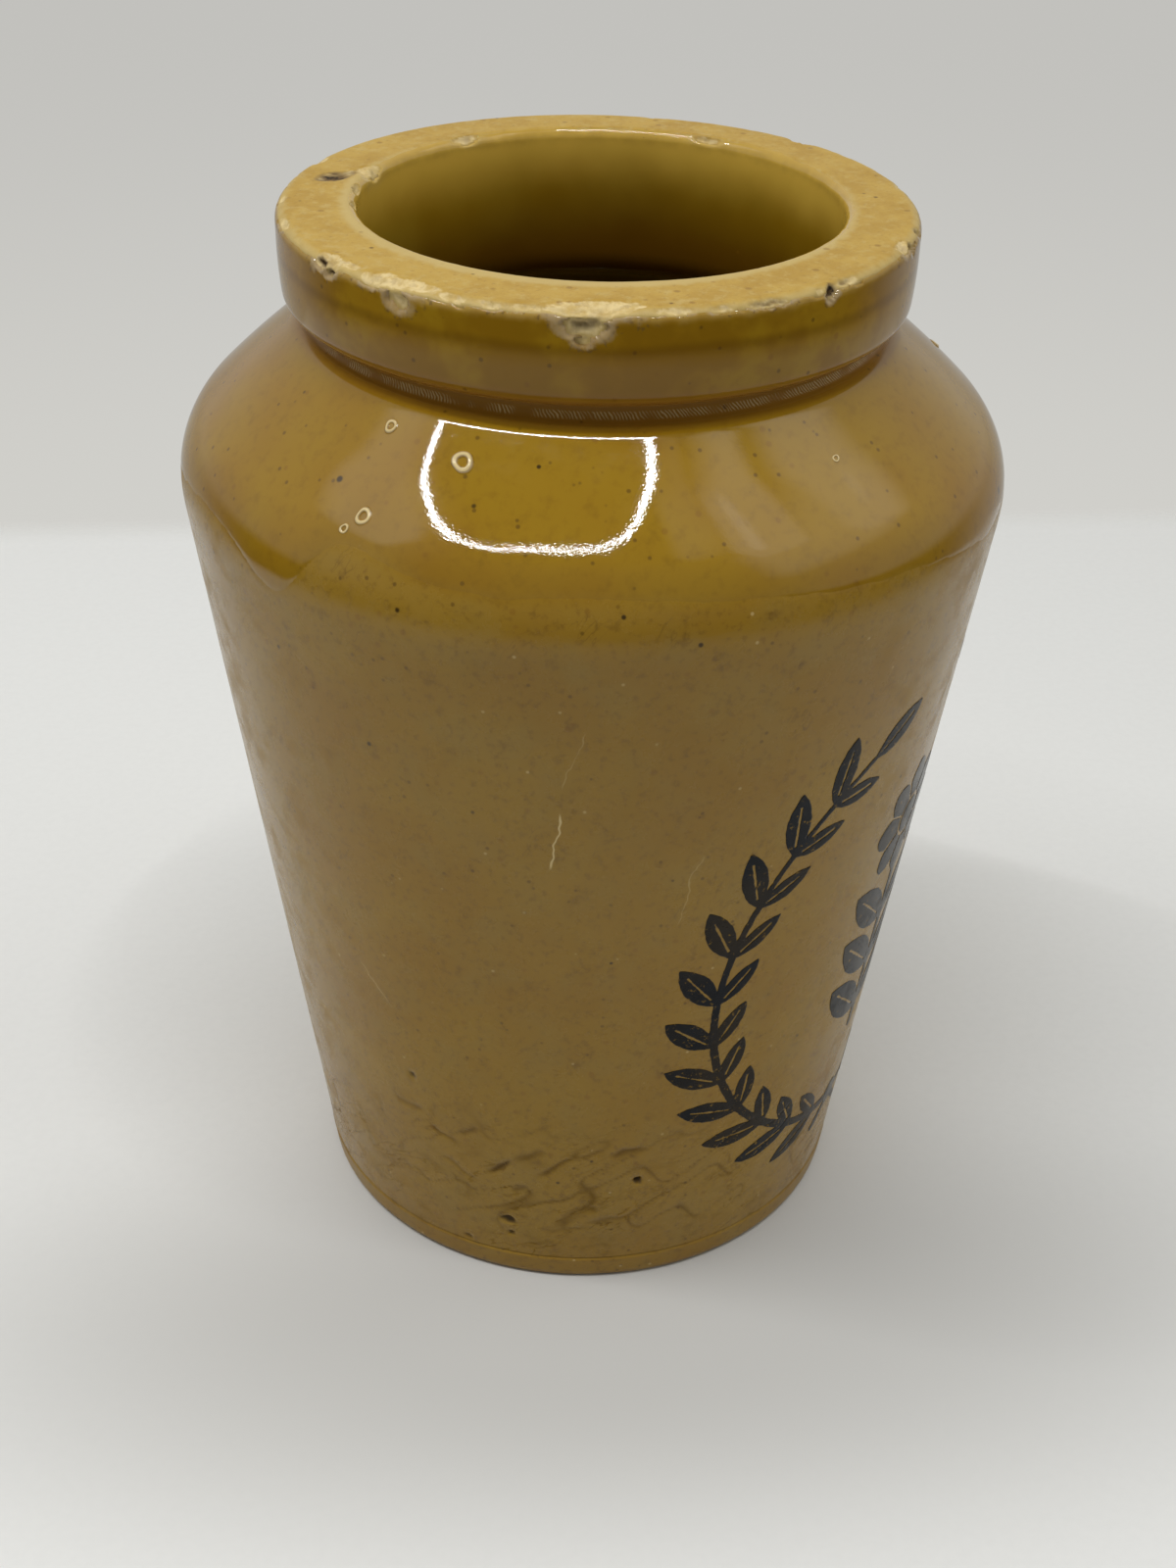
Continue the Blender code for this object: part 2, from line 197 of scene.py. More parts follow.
class Outline:
    """The finished outline, looked up by its run."""

    def __init__(self):
        inner = rounded(INNER_CORNERS)[::-1]
        outer = rounded(OUTER_CORNERS)
        points = np.vstack([inner, outer[1:]])
        lengths = np.hypot(*np.diff(points, axis=0).T)
        kept = np.append(True, lengths > 1e-9)
        points = points[kept]
        along = np.append(0.0, np.cumsum(lengths[lengths > 1e-9]))
        zero = along[np.hypot(*(points - outer[0]).T).argmin()]
        count = int(along[-1] / OUTLINE_STEP) + 1
        run = np.linspace(0, along[-1], count)
        self.run = run - zero
        self.radius = np.interp(run, along, points[:, 0])
        self.height = np.interp(run, along, points[:, 1])
        rise = np.gradient(self.height, self.run)
        reach = np.gradient(self.radius, self.run)
        length = np.hypot(rise, reach)
        self.out = -rise / length
        self.up = reach / length

    def at(self, run):
        """Radius, height and the two parts of the normal at a run."""
        columns = (self.radius, self.height, self.out, self.up)
        return [np.interp(run, self.run, column) for column in columns]

    def run_at(self, height):
        """The run of a height on the outside, below the rim."""
        side = (self.run > 0) & (self.run < OUTSIDE_LENGTH)
        return np.interp(-np.asarray(height), -self.height[side], self.run[side])


OUTLINE = Outline()
BAND_LEAN = 0.0345  # the band's slope in the outline
BAND_CURVE = 0.0122  # its real slope grows from upright by twice this for each millimetre down
BAND_UPRIGHT_Z = 107.0
BAND_FOOT_Z = 101.2
RIDGE_RUN = OUTLINE.run_at(98.75)  # a low ridge edges the shoulder where it meets the groove
RIDGE_RISE = 0.008
RIDGE_WIDTH = 0.75
FLOOR_RUN = OUTLINE.run[0]
BASE_RUN = OUTLINE.run[-1]
RIM_EDGE = RIM_RADIUS - RIM_MIDDLE - RIM_ROUNDING + RIM_ROUNDING * math.pi / 4
LIP_EDGE = MOUTH_RADIUS - RIM_MIDDLE + LIP_ROUNDING - LIP_ROUNDING * math.pi / 4


def spot(bearing, run, depth=0.0):
    """The points at a bearing and run, moved into the pot by depth."""
    radius, height, out, up = OUTLINE.at(run)
    angle = np.radians(bearing)
    reach = radius - out * depth
    off = smooth(-np.asarray(run), 0.3, 3.4) * smooth(height, 84.0, 104.0)
    x, y, z = np.broadcast_arrays(
        reach * np.sin(angle) + off * MOUTH_OFF_CENTRE[0],
        -reach * np.cos(angle) + off * MOUTH_OFF_CENTRE[1],
        height - up * depth,
    )
    return np.stack([x, y, z], axis=-1)


def graded(low, high, step, *fine):
    """Places from low to high, a step apart, and closer in zones: middle, half width, step."""
    places = [low]
    while places[-1] < high:
        size = step
        for middle, half_width, fine_step in fine:
            beyond = max(abs(places[-1] - middle) - half_width, 0.0)
            size = min(size, fine_step + beyond * GRADING)
        places.append(places[-1] + size)
    places = np.array(places)
    return low + (places - low) * (high - low) / (places[-1] - low)


def bearings(step, seen_step, multiple=1):
    """Bearings once round the pot, closer together on the side that the photograph shows."""
    places = graded(-180.0, 180.0, step, (SEEN_BEARING, SEEN_HALF_WIDTH, seen_step))
    count = round((len(places) - 1) / multiple) * multiple
    share = np.linspace(0, len(places) - 1, count + 1)[:-1]
    return np.interp(share, np.arange(len(places)), places)


# ---- Marks of making and wear ----

# Chips: bearing, run from the rim's outer edge, width round the pot, length, depth, dirt
CHIPS = (
    (-64.4, -1, 8.8, 2.7, 0.62, 0.32), (-66.5, 1.1, 3.9, 2, 0.24, 0.34),
    (-66.9, 1, 2.4, 1.7, 0.50, 0.70), (-64.7, 0.9, 1.8, 1.3, 0.44, 0.62),
    (-66.4, 2.4, 1.8, 1.3, 0.18, 0.10), (-70.6, -0.3, 3.2, 1, 0.28, 0.15),
    (-116.5, -0.4, 4.2, 2.4, 0.55, 0.35), (-118, 0.3, 1.8, 1.2, 0.90, 0.95),
    (-114.8, 0.8, 1.3, 1.1, 0.80, 0.95), (-111, -0.8, 3.4, 1.4, 0.30, 0.20),
    (-98, -0.9, 7.8, 2.3, 0.46, 0.15), (-103.8, -0.3, 4.6, 1.7, 0.40, 0.30),
    (-98.6, 1, 2.8, 2, 0.20, 0.25), (-88.5, -0.3, 3.6, 1.1, 0.26, 0.15),
    (-82, -0.2, 3.4, 0.9, 0.24, 0.15), (-76, -0.3, 3.6, 0.9, 0.25, 0.20),
    (-166, -4.3, 3.8, 2.7, 0.36, 1.00), (-169.5, -5, 2, 1.5, 0.30, 0.70),
    (-171.5, -6.5, 3.6, 2.4, 0.40, 0.10), (-176, -0.4, 3.4, 1.6, 0.40, 0.20),
    (-152, -0.3, 2.6, 1, 0.30, 0.20), (-138, -0.2, 3.2, 1.2, 0.28, 0.20),
    (-52, -0.2, 3.8, 0.9, 0.26, 0.20), (-44, -0.1, 2.4, 0.9, 0.25, 0.30),
    (-35.5, 0.1, 4.6, 0.8, 0.36, 0.75), (-22.6, 0.3, 1.5, 1.6, 0.80, 1.00),
    (-19, -0.2, 2.6, 0.8, 0.30, 0.60), (3, -0.4, 3, 1.8, 0.40, 0.40),
    (6, 0.4, 1.3, 1.2, 0.60, 0.95), (13.5, 0.1, 1.7, 1.5, 0.55, 0.75),
    (38, -0.2, 3, 1.1, 0.30, 0.30), (71, 0.1, 5.2, 2.2, 0.60, 0.40),
    (104, -0.3, 2.4, 1.2, 0.35, 0.50), (131, 0.2, 3.6, 1.5, 0.45, 0.25),
    (152, -6.6, 2.8, 1.3, 0.35, 0.35), (-158, -6.8, 2.4, 0.9, 0.25, 0.45),
    (-146, -6.9, 2, 0.8, 0.22, 0.55), (-98, -6.9, 1.6, 0.6, 0.18, 0.15),
    (88, -6.8, 3.2, 1, 0.25, 0.20),
)
CHIP_WARP = 0.32  # how far noise bends a chip's border, as a share of its size
HALO_WIDTH = 0.55  # how far the bruise round a chip reaches, as a share of the chip's size
FRAY_DEPTH = 0.68  # how deep the many tiny nicks along the rim's outer edge may go
FRAY_WIDTH = 0.42

# Lower edge of the honey glaze: bearing and height
DIP_LINE = (
    (-180, 84.3), (-160, 83.2), (-142, 85.4), (-126, 86.6), (-117, 85.6), (-112, 83.4),
    (-106.5, 82.6), (-103.8, 84.6), (-102, 88.2), (-97, 89.6), (-91.5, 88.7), (-86, 88),
    (-78, 87.6), (-70, 87.9), (-62, 88.2), (-52, 87.8), (-43, 87.2), (-34, 86.8), (-24, 86.2),
    (-12, 85.4), (2, 83.9), (20, 85.2), (42, 84), (63, 82.8), (78, 85.6), (96, 86.4), (118, 84.2),
    (133, 82.5), (148, 85.8), (166, 85.6),
)
DIP_ROLL = 1.3  # width of the rounded lower edge of the honey glaze

# Pits in the wall: bearing, height, width, length, depth
PITS = (
    (-96.6, 26.8, 1.1, 0.9, 0.30), (-78.6, 8.3, 2, 1, 0.34), (-78, 6.4, 1.1, 0.8, 0.28),
    (-52.8, 15.5, 1.3, 1, 0.66), (-88, 3.6, 1.2, 0.9, 0.22), (-62, 11.2, 1.8, 1.2, 0.16),
    (32, 19, 1.3, 0.9, 0.28), (84, 61, 1, 0.8, 0.22), (118, 12.5, 2.2, 1.1, 0.30),
    (161, 38, 1.2, 1, 0.24), (-158, 9, 1.5, 0.9, 0.26),
)
# Creases pressed into the wet clay low on the wall: bearing, height, length, tilt in degrees, depth
CREASES = (
    (-98, 22, 5, -8, 0.10), (-91, 19.4, 4.2, -14, 0.12), (-85.5, 21.5, 3.4, 30, 0.12),
    (-80, 17, 4.6, 40, 0.20), (-76, 13.8, 2.2, 20, 0.12), (-88, 14.6, 6, -22, 0.08),
    (-68.5, 17.8, 6.6, 36, 0.15), (-62, 20, 3.6, 30, 0.10), (-55, 19.8, 4.6, 6, 0.15),
    (-57, 9.6, 8, 14, 0.10), (-66, 8, 7, 4, 0.07), (54, 14, 6, 18, 0.10),
    (66, 17.5, 4, -12, 0.12), (140, 20, 5, 25, 0.10),
)
CREASE_WIDTH = 0.75
CREASE_DIRT = 4.6  # how dark a crease is for each millimetre of its depth
WRINKLE_TILT = math.radians(32)
WRINKLE_DEPTH = 0.07
WRINKLE_DIRT = 0.60

# Single dark specks of iron on the outside: bearing, height, radius
DARK_SPECKS = (
    (-95, 70, 0.34), (8.4, 86.6, 0.55), (-103, 93.4, 0.42), (-88.4, 85.6, 0.30),
    (-60.4, 87, 0.30), (-51, 84.2, 0.32), (-72.8, 96.6, 0.26), (-60, 47.5, 0.24),
    (-22, 30.5, 0.26), (63, 78, 0.40), (122, 90, 0.36), (170, 66, 0.34),
)

# Fine scratches down the wall: bearing, heights of both ends, lean, width, strength
SCRATCHES = (
    (-68.6, 59.4, 65.8, 0.10, 0.13, 0.75), (-101.8, 36, 40.4, -0.7, 0.12, 0.5),
    (-66, 69, 75, 0.25, 0.07, 0.3), (-49, 52, 60, 0.18, 0.07, 0.3), (40, 44, 52, 0.5, 0.10, 0.5),
    (110, 58, 67, -0.4, 0.10, 0.5),
)

# Popped bubbles in the honey glaze: bearing, height, radius
BUBBLES = (
    (-84.8, 96.3, 0.78), (-99.4, 97.4, 0.50), (-96.4, 91.7, 0.60), (-98.4, 90.6, 0.36),
    (-24.6, 95.4, 0.30), (38, 93.8, 0.50), (97, 95.2, 0.42), (171, 92.4, 0.55),
)


def around(bearing, middle):
    """The difference of two bearings, from -180 to 180 degrees."""
    return (bearing - middle + 180.0) % 360.0 - 180.0


def chip_fields(bearing, run, points):
    """Depth, dirt and bruising of the chips, and the nicks along the rim's outer edge."""
    radius = OUTLINE.at(run)[0]
    depth = np.zeros(points.shape[:-1])
    dirt = np.zeros_like(depth)
    bruise_and_highlight = np.zeros_like(depth)
    for number, (middle, from_edge, width, length, deepest, dirty) in enumerate(CHIPS):
        sideways = np.radians(around(bearing, middle)) * radius
        down = run - RIM_EDGE - from_edge
        near = (np.abs(sideways) < width * 1.6) & (np.abs(down) < length * 1.9)
        if not near.any():
            continue
        at = points[near]
        warp = min(width, length) * CHIP_WARP
        side_warp = fractal(at, warp * 2.2, 4, 50 + number)
        down_warp = fractal(at, warp * 2.2, 4, 90 + number)
        across = (np.broadcast_to(sideways, depth.shape)[near] + warp * side_warp) / (width / 2)
        along = (np.broadcast_to(down, depth.shape)[near] + warp * down_warp) / (length / 2)
        reach = np.hypot(across, along)
        bowl = np.clip(1 - reach, 0, 1) ** 0.75
        facets = 1 + 0.42 * noise(at, 0.95, 7) + 0.30 * noise(at, 0.42, 8)
        depth[near] = np.maximum(depth[near], deepest * bowl * facets)
        stain = bowl * (0.7 + dirty) + 0.8 * fractal(at, 0.7, 3, 11) - 0.35 + 0.5 * dirty**4
        stain = np.clip(stain, 0, 1) * (reach < 1.1)
        dirt[near] = np.maximum(dirt[near], stain * dirty)
        halo = min(1.0, deepest + 0.55) * hump(np.clip(reach - 1, 0, None), HALO_WIDTH)
        bruise_and_highlight[near] = np.maximum(bruise_and_highlight[near], halo)
    ragged = np.clip(fractal(points, 1.7, 4, 23) - 0.12, 0, 1)
    fray = FRAY_DEPTH * ragged * hump(run - RIM_EDGE, FRAY_WIDTH)
    return np.minimum(np.maximum(depth, fray), CHIP_LIMIT), dirt, bruise_and_highlight


def dip_height(bearing, points):
    """Height of the honey glaze's lower edge at a bearing."""
    places, heights = zip(*DIP_LINE)
    near = [bearing + shift for shift in range(-3, 4)]  # a mean over a few degrees has no corners
    line = np.mean([np.interp(at, places, heights, period=360) for at in near], axis=0)
    return line + 0.22 * noise(points, 3.4, 31) + 0.08 * noise(points, 1.1, 32)


def body_shape(run, points):
    """How far the pot's own surface lies inside the outline, uneven and with a full band."""
    height = OUTLINE.at(run)[1]
    uneven = 0.022 + 0.020 * noise(points, 38.0, 1)
    outside = (run > RIM_EDGE) & (height > BAND_FOOT_Z)
    full = BAND_CURVE * np.clip(BAND_UPRIGHT_Z - height, 0, None) ** 2
    curve = full - BAND_LEAN * (RIM_Z - height)
    ridge = RIDGE_RISE * hump(run - RIDGE_RUN, RIDGE_WIDTH)
    return uneven + np.where(outside, curve, 0.0) - ridge


def glaze_waves(points):
    """The soft ripple of a thick glaze."""
    return 0.006 + 0.0016 * noise(points, 6.5, 3) + 0.0006 * noise(points, 2.6, 4)


def opened_depth(chip):
    """How far a coat dives below the clay inside a chip, so that the chip's border is crisp."""
    return smooth(chip, 0.03, 0.10) * (UNDER_COAT + chip + 0.25)


def honey_level(bearing, run, points):
    """Depth of the honey glaze's surface, and the fields that its material reads."""
    height = OUTLINE.at(run)[1]
    chip, _, bruise_and_highlight = chip_fields(bearing, run, points)
    edge_noise = 0.16 * noise(points, 1.3, 41)
    top = HONEY_EDGE * smooth(RIM_EDGE + 0.45 + edge_noise - run, 0.0, 0.9)
    above_dip = height - dip_height(bearing, points)
    below = np.clip(0.5 - above_dip / DIP_ROLL, 0, None)
    foot = HONEY_FOOT * below**1.6
    dive = opened_depth(chip)
    level = body_shape(run, points) + glaze_waves(points)
    level = level + np.maximum(np.maximum(top, foot), dive)
    return level, {"above_dip": above_dip, "bruise_and_highlight": bruise_and_highlight}


def tilted(sideways, upward, tilt):
    """Places along and across a direction that is tilted up by an angle."""
    cosine, sine = math.cos(tilt), math.sin(tilt)
    return sideways * cosine + upward * sine, upward * cosine - sideways * sine


def pit_fields(bearing, run, points):
    """Depth and dirt of the wall's pits and creases."""
    radius, height, _, _ = OUTLINE.at(run)
    depth = np.zeros(points.shape[:-1])
    dirt = np.zeros_like(depth)
    warped_side = 0.30 * noise(points, 0.9, 61)
    warped_up = 0.30 * noise(points, 0.9, 62)
    for middle, level, width, length, deepest in PITS:
        sideways = np.radians(around(bearing, middle)) * radius + warped_side
        upward = height - level + warped_up
        bowl = np.clip(1.25 - np.hypot(sideways * 2 / width, upward * 2 / length), 0, 1)
        depth = np.maximum(depth, deepest * smooth(bowl, 0, 0.9))
        dirt = np.maximum(dirt, smooth(bowl, 0.25, 0.75) * min(1.0, deepest * 2.2))
    for middle, level, length, tilt, deepest in CREASES:
        sideways = np.radians(around(bearing, middle)) * radius
        upward = height - level
        along, across = tilted(sideways, upward, math.radians(tilt))
        across = across + 0.7 * noise(points, 2.6, 63) + 0.4 * warped_up
        ends = smooth(length / 2 - np.abs(along), 0, length * 0.3)
        width = CREASE_WIDTH * (0.7 + 0.3 * noise(points, 1.7, 64))
        groove = hump(across / width, 1 / 1.6) * ends
        depth = np.maximum(depth, deepest * groove)
        dirt = np.maximum(dirt, groove * deepest * CREASE_DIRT)
    sideways = np.radians(around(bearing, SEEN_BEARING)) * radius
    along, across = tilted(sideways, height, WRINKLE_TILT)
    flat = np.stack([along * 0.34, across + 0.6 * warped_up, np.zeros_like(across)], axis=-1)
    ridge = 1 - np.abs(noise(flat, 2.1, 68)) * 7.0
    wrinkled = smooth(27.0 - height, 0, 9.0) * smooth(height, 5.0, 9.0)
    wrinkled = wrinkled * smooth(noise(points, 15.0, 69), -0.5, 0.25)
    crease = np.clip(ridge, 0, 1) ** 1.5 * wrinkled
    return np.maximum(depth, WRINKLE_DEPTH * crease), np.maximum(dirt, WRINKLE_DIRT * crease)


def wall_level(bearing, run, points):
    """Depth of the wall glaze's surface, and the fields that its material reads."""
    height = OUTLINE.at(run)[1]
    pits, dirt = pit_fields(bearing, run, points)
    above_dip = height - dip_height(bearing, points)
    low = smooth(26.0 - height, 0, 16.0)
    lumps = low * (0.035 + 0.035 * fractal(points, 4.5, 3, 66))
    under_honey = 0.25 * smooth(above_dip, 0.2, 2.0)
    step = WALL_STEP * smooth(-above_dip, -2.0, 1.5)
    level = body_shape(run, points) + 0.6 * glaze_waves(points) + step
    level = level + pits + lumps + under_honey
    return level, {"above_dip": above_dip, "dirt": dirt, "pit": smooth(pits, 0.14, 0.30)}


def liner_level(bearing, run, points):
    """Depth of the inner glaze's surface, and the fields that its material reads."""
    height = OUTLINE.at(run)[1]
    chip, _, bruise_and_highlight = chip_fields(bearing, run, points)
    top = LINER_EDGE * smooth(run - (LIP_EDGE + 0.6 + 0.18 * noise(points, 1.4, 71)), -0.9, 0.9)
    inside = smooth(LINER_TOP_Z - 8.0 - height, 0, 10.0)
    turning = np.sin((height / THROWING_PITCH + np.asarray(bearing) / 360.0) * math.tau)
    rings = inside * (0.05 + 0.035 * turning + 0.015 * noise(points, 9.0, 72))
    beads = 0.035 * hump(run - LIP_EDGE + 0.3, 0.8) * noise(points, 1.1, 73)
    level = glaze_waves(points) + rings + beads + np.maximum(top, opened_depth(chip))
    return level, {"bruise_and_highlight": bruise_and_highlight}


def clay_level(bearing, run, points):
    """Depth of the bare clay's surface, and the fields that its material reads."""
    radius, height, _, _ = OUTLINE.at(run)
    chip, dirt, _ = chip_fields(bearing, run, points)
    outside = (run > 0) & (run < OUTSIDE_LENGTH)
    coated_outside = smooth(run - RIM_EDGE - 0.1, 0.0, 0.9)
    heel = smooth(height - WALL_COAT_LOW_Z, 0.02, 1.9)
    coated_inside = smooth(LIP_EDGE + 0.2 - run, 0.0, 2.4)
    coated = np.where(outside, np.minimum(coated_outside, heel), coated_inside)
    coated = np.where(run > OUTSIDE_LENGTH, 0.0, coated)
    top = smooth(RIM_Z - 2.5 - height, 2.5, 0)
    turns = radius * math.tau
    tooling = top * (0.005 + 0.004 * np.sin(turns / 1.15 + 1.6 * noise(points, 6.0, 81)))
    grain = 0.012 * fractal(points, 0.9, 2, 82)
    underneath = smooth(run, OUTSIDE_LENGTH - 2, OUTSIDE_LENGTH)
    turned = underneath * 0.03 * (1 + np.sin(turns / 1.7 + noise(points, 5.0, 83)))
    on_floor = 1 - underneath * smooth(0.15 - height, 0, 0.1)
    wall = wall_level(bearing, run, points)[0] + HEEL_STEP
    on_heel = outside & (height < HEEL_HIGH_Z)
    level = np.where(on_heel, wall, body_shape(run, points)) * (1 - underneath)
    level = level + top * 0.03 * (1 + noise(points, 7.0, 84))
    on_wall = np.where(outside, smooth(88.0 - height, 0, 6), 0)
    under = UNDER_COAT + (UNDER_WALL - UNDER_COAT) * on_wall
    level = level + coated * under + chip + tooling + (grain + turned) * on_floor
    fields = {"scar": smooth(chip, 0.05, 0.16), "dirt": dirt, "top": top, "foot": underneath}
    return np.maximum(level, 0.0), fields


def back_level(bearing, run, points):
    """Depth of a coat's back, which no material reads."""
    return np.full(bearing.shape, COAT_BACK), {}


# ---- Meshes ----


def section(runs, around_pot, surface):
    """Rows of points once round the pot, and the fields that a material reads there."""
    run, bearing = np.meshgrid(runs, around_pot, indexing="ij")
    level, fields = surface(bearing, run, spot(bearing, run))
    return spot(bearing, run, level), fields


def row_faces(upper, lower):
    """Faces between two rows, where one row may have a third of the other's points."""
    if len(upper) == len(lower):
        corners = [upper, lower, np.roll(lower, -1), np.roll(upper, -1)]
    elif len(upper) < len(lower):
        corners = [upper, *(np.roll(lower, -shift)[::3] for shift in range(4)), np.roll(upper, -1)]
    else:
        corners = [*(np.roll(upper, -shift)[::3] for shift in (3, 2, 1, 0)), lower]
        corners.append(np.roll(lower, -1))
    return np.stack(corners, axis=1).tolist()


def fan(pole, ring):
    """Faces from one point to each side of a ring."""
    return [(pole, a, b) for a, b in np.stack([ring, np.roll(ring, -1)], axis=1).tolist()]


def turned_piece(name, sections, closed_ring=False):
    """A mesh from sections in a row. It closes on itself, or else at the axis at its first end."""
    rows, faces, total = [], [], 0
    for places, _ in sections:
        shape = places.shape[:2]
        rows += list(total + np.arange(shape[0] * shape[1]).reshape(shape))
        total += shape[0] * shape[1]
    points = [places.reshape(-1, 3) for places, _ in sections]
    fields = {field: [] for _, given in sections for field in given}
    for field, values in fields.items():
        for places, given in sections:
            values.append(np.broadcast_to(given.get(field, 0.0), places.shape[:2]).ravel())
    for upper, lower in zip(rows, rows[1:]):
        faces += row_faces(upper, lower)
    if closed_ring:
        faces += row_faces(rows[-1], rows[0])
    else:
        points.append([[0.0, 0.0, points[0][: len(rows[0]), 2].mean()]])
        faces += fan(total, rows[0])
        for values in fields.values():
            values.append([0.0])
    fields = {field: np.concatenate(values) for field, values in fields.items()}
    return new_piece(name, np.vstack(points), faces, fields)


def new_piece(name, points, faces, fields):
    """A smooth-shaded object from points in millimetres."""
    mesh = bpy.data.meshes.new(name)
    mesh.from_pydata((points * MM).tolist(), [], faces)
    mesh.polygons.foreach_set("use_smooth", np.ones(len(mesh.polygons), bool))
    for field, values in fields.items():
        attribute = mesh.attributes.new(field, "FLOAT", "POINT")
        attribute.data.foreach_set("value", values.astype(np.float32))
    mesh.update()
    piece = bpy.data.objects.new(name, mesh)
    bpy.context.scene.collection.objects.link(piece)
    return piece


def make_clay():
    fine = bearings(0.8, 0.352, 3)
    coarse = fine[::3]
    rim_low = RIM_EDGE + 7.0
    lip_low = LIP_EDGE - 2.4
    rim_middle = (LIP_EDGE + RIM_EDGE) / 2 - 0.4
    heel = OUTLINE.run_at(4.0) + 3.0
    inside = graded(FLOOR_RUN + 0.6, lip_low - 0.8, 2.4, (lip_low, 1.0, 0.5))
    rim = graded(lip_low, rim_low, 0.27, (rim_middle, 4.8, 0.215))
    outside = graded(rim_low + 0.5, BASE_RUN - 0.6, 2.2, (heel, 9.0, 0.42), (rim_low, 0.5, 0.5))
    zones = ((inside, coarse), (rim, fine), (outside, coarse))
    return turned_piece("stoneware", [section(*zone, clay_level) for zone in zones])


def coat(name, runs, around_pot, surface, thinning=4, closed_ring=True):
    """A coat of glaze: its surface in front, and a plain back with fewer rows and columns."""
    count = len(runs) // thinning
    back_runs = np.interp(np.linspace(0, len(runs) - 1, count), np.arange(len(runs)), runs)
    front = section(runs, around_pot, surface)
    back = section(back_runs[::-1], around_pot[::3], back_level)
    return turned_piece(name, [front, back], closed_ring)


def make_honey():
    start = RIM_EDGE - 0.7
    low, groove = OUTLINE.run_at(80.6), OUTLINE.run_at(100.2)
    fine = ((start, 1.4, 0.22), (groove, 1.9, 0.17), (start + 5, 3.0, 0.27))
    return coat("honey_coat", graded(start, low, 0.46, *fine), bearings(0.9, 0.36, 3), honey_level)


def make_wall():
    top, pitted, low = (OUTLINE.run_at(height) for height in (91.0, 13.0, WALL_COAT_LOW_Z))
    runs = graded(top, low, 1.0, (pitted, 11.0, 0.31), (low, 2.0, 0.3), (top, 7.0, 0.5))
    runs = np.append(runs, low + 0.02)  # keeps the shading of the coat's end off its face
    return coat("wall_coat", runs, bearings(1.0, 0.42, 3), wall_level)


def make_liner():
    runs = graded(FLOOR_RUN + 0.8, LIP_EDGE + 1.5, 1.1, (LIP_EDGE, 2.0, 0.2))
    return coat("liner_coat", runs, bearings(0.9, 0.75, 3), liner_level, 3, closed_ring=False)


# ---- Shaders ----


def linear(red, green, blue):
    """A colour as a shader takes it, from its sRGB numbers."""
    parts = (value / 255 for value in (red, green, blue))
    return [p / 12.92 if p <= 0.04045 else ((p + 0.055) / 1.055) ** 2.4 for p in parts] + [1.0]


class Value:
    """Something that nodes work out at each place, with the sums that take it further."""

    def __init__(self, nodes, socket):
        self.nodes = nodes
        self.socket = socket

    def __add__(self, other):
        return self.nodes.maths("ADD", self, other)

    def __sub__(self, other):
        return self.nodes.maths("SUBTRACT", self, other)

    def __rsub__(self, other):
        return self.nodes.maths("SUBTRACT", other, self)

    def __mul__(self, other):
        return self.nodes.maths("MULTIPLY", self, other)

    def __abs__(self):
        return self.nodes.maths("ABSOLUTE", self)

    def ramp(self, low, high, start=0.0, end=1.0):
        """Goes smoothly from start to end while the number goes from low to high."""
        limits = (low, high, start, end)
        return self.nodes.out(0, "MapRange", self, *limits, interpolation_type="SMOOTHSTEP")

    def within(self, low, full_from, full_to, high):
        """1 from full_from to full_to, falling smoothly to 0 at low and high."""
        return self.ramp(low, full_from) * self.ramp(high, full_to)

    def between(self, low, high, soft):
        """1 between low and high, with ends that are soft over this much to both sides."""
        return self.within(low - soft, low + soft, high - soft, high + soft)


class Nodes:
    """Fills a tree with nodes."""

    def __init__(self, tree):
        self.tree = tree
        tree.nodes.clear()

    def feed(self, socket, value):
        if isinstance(value, Value):
            self.tree.links.new(value.socket, socket)
        elif value is not None:
            socket.default_value = value

    def add(self, kind, *values, **named):
        """A new node. The values go to its sockets in order. A name in lower case is a setting."""
        node = self.tree.nodes.new("ShaderNode" + kind)
        for socket, value in zip(node.inputs, values):
            self.feed(socket, value)
        for name, value in named.items():
            if name.islower():
                setattr(node, name, value)
            else:
                self.feed(node.inputs[name.replace("_", " ")], value)
        return node

    def out(self, output, kind, *values, **named):
        """An output of a new node."""
        return Value(self, self.add(kind, *values, **named).outputs[output])

    def maths(self, operation, *values):
        return self.out(0, "Math", *values, operation=operation)

    def vector(self, operation, *values, output="Vector", **named):
        return self.out(output, "VectorMath", *values, operation=operation, **named)

    def parts(self, vector):
        """The three numbers of a vector."""
        return [Value(self, socket) for socket in self.add("SeparateXYZ", vector).outputs]

    def mix(self, share, first, second):
        node = self.add("Mix", share, data_type="RGBA")
        self.feed(node.inputs[6], first)
        self.feed(node.inputs[7], second)
        return Value(self, node.outputs[2])

    def layers(self, colour, *layers):
        """A colour with others laid over it, each given with the share that it covers."""
        for over, share in layers:
            colour = self.mix(share, colour, over)
        return colour


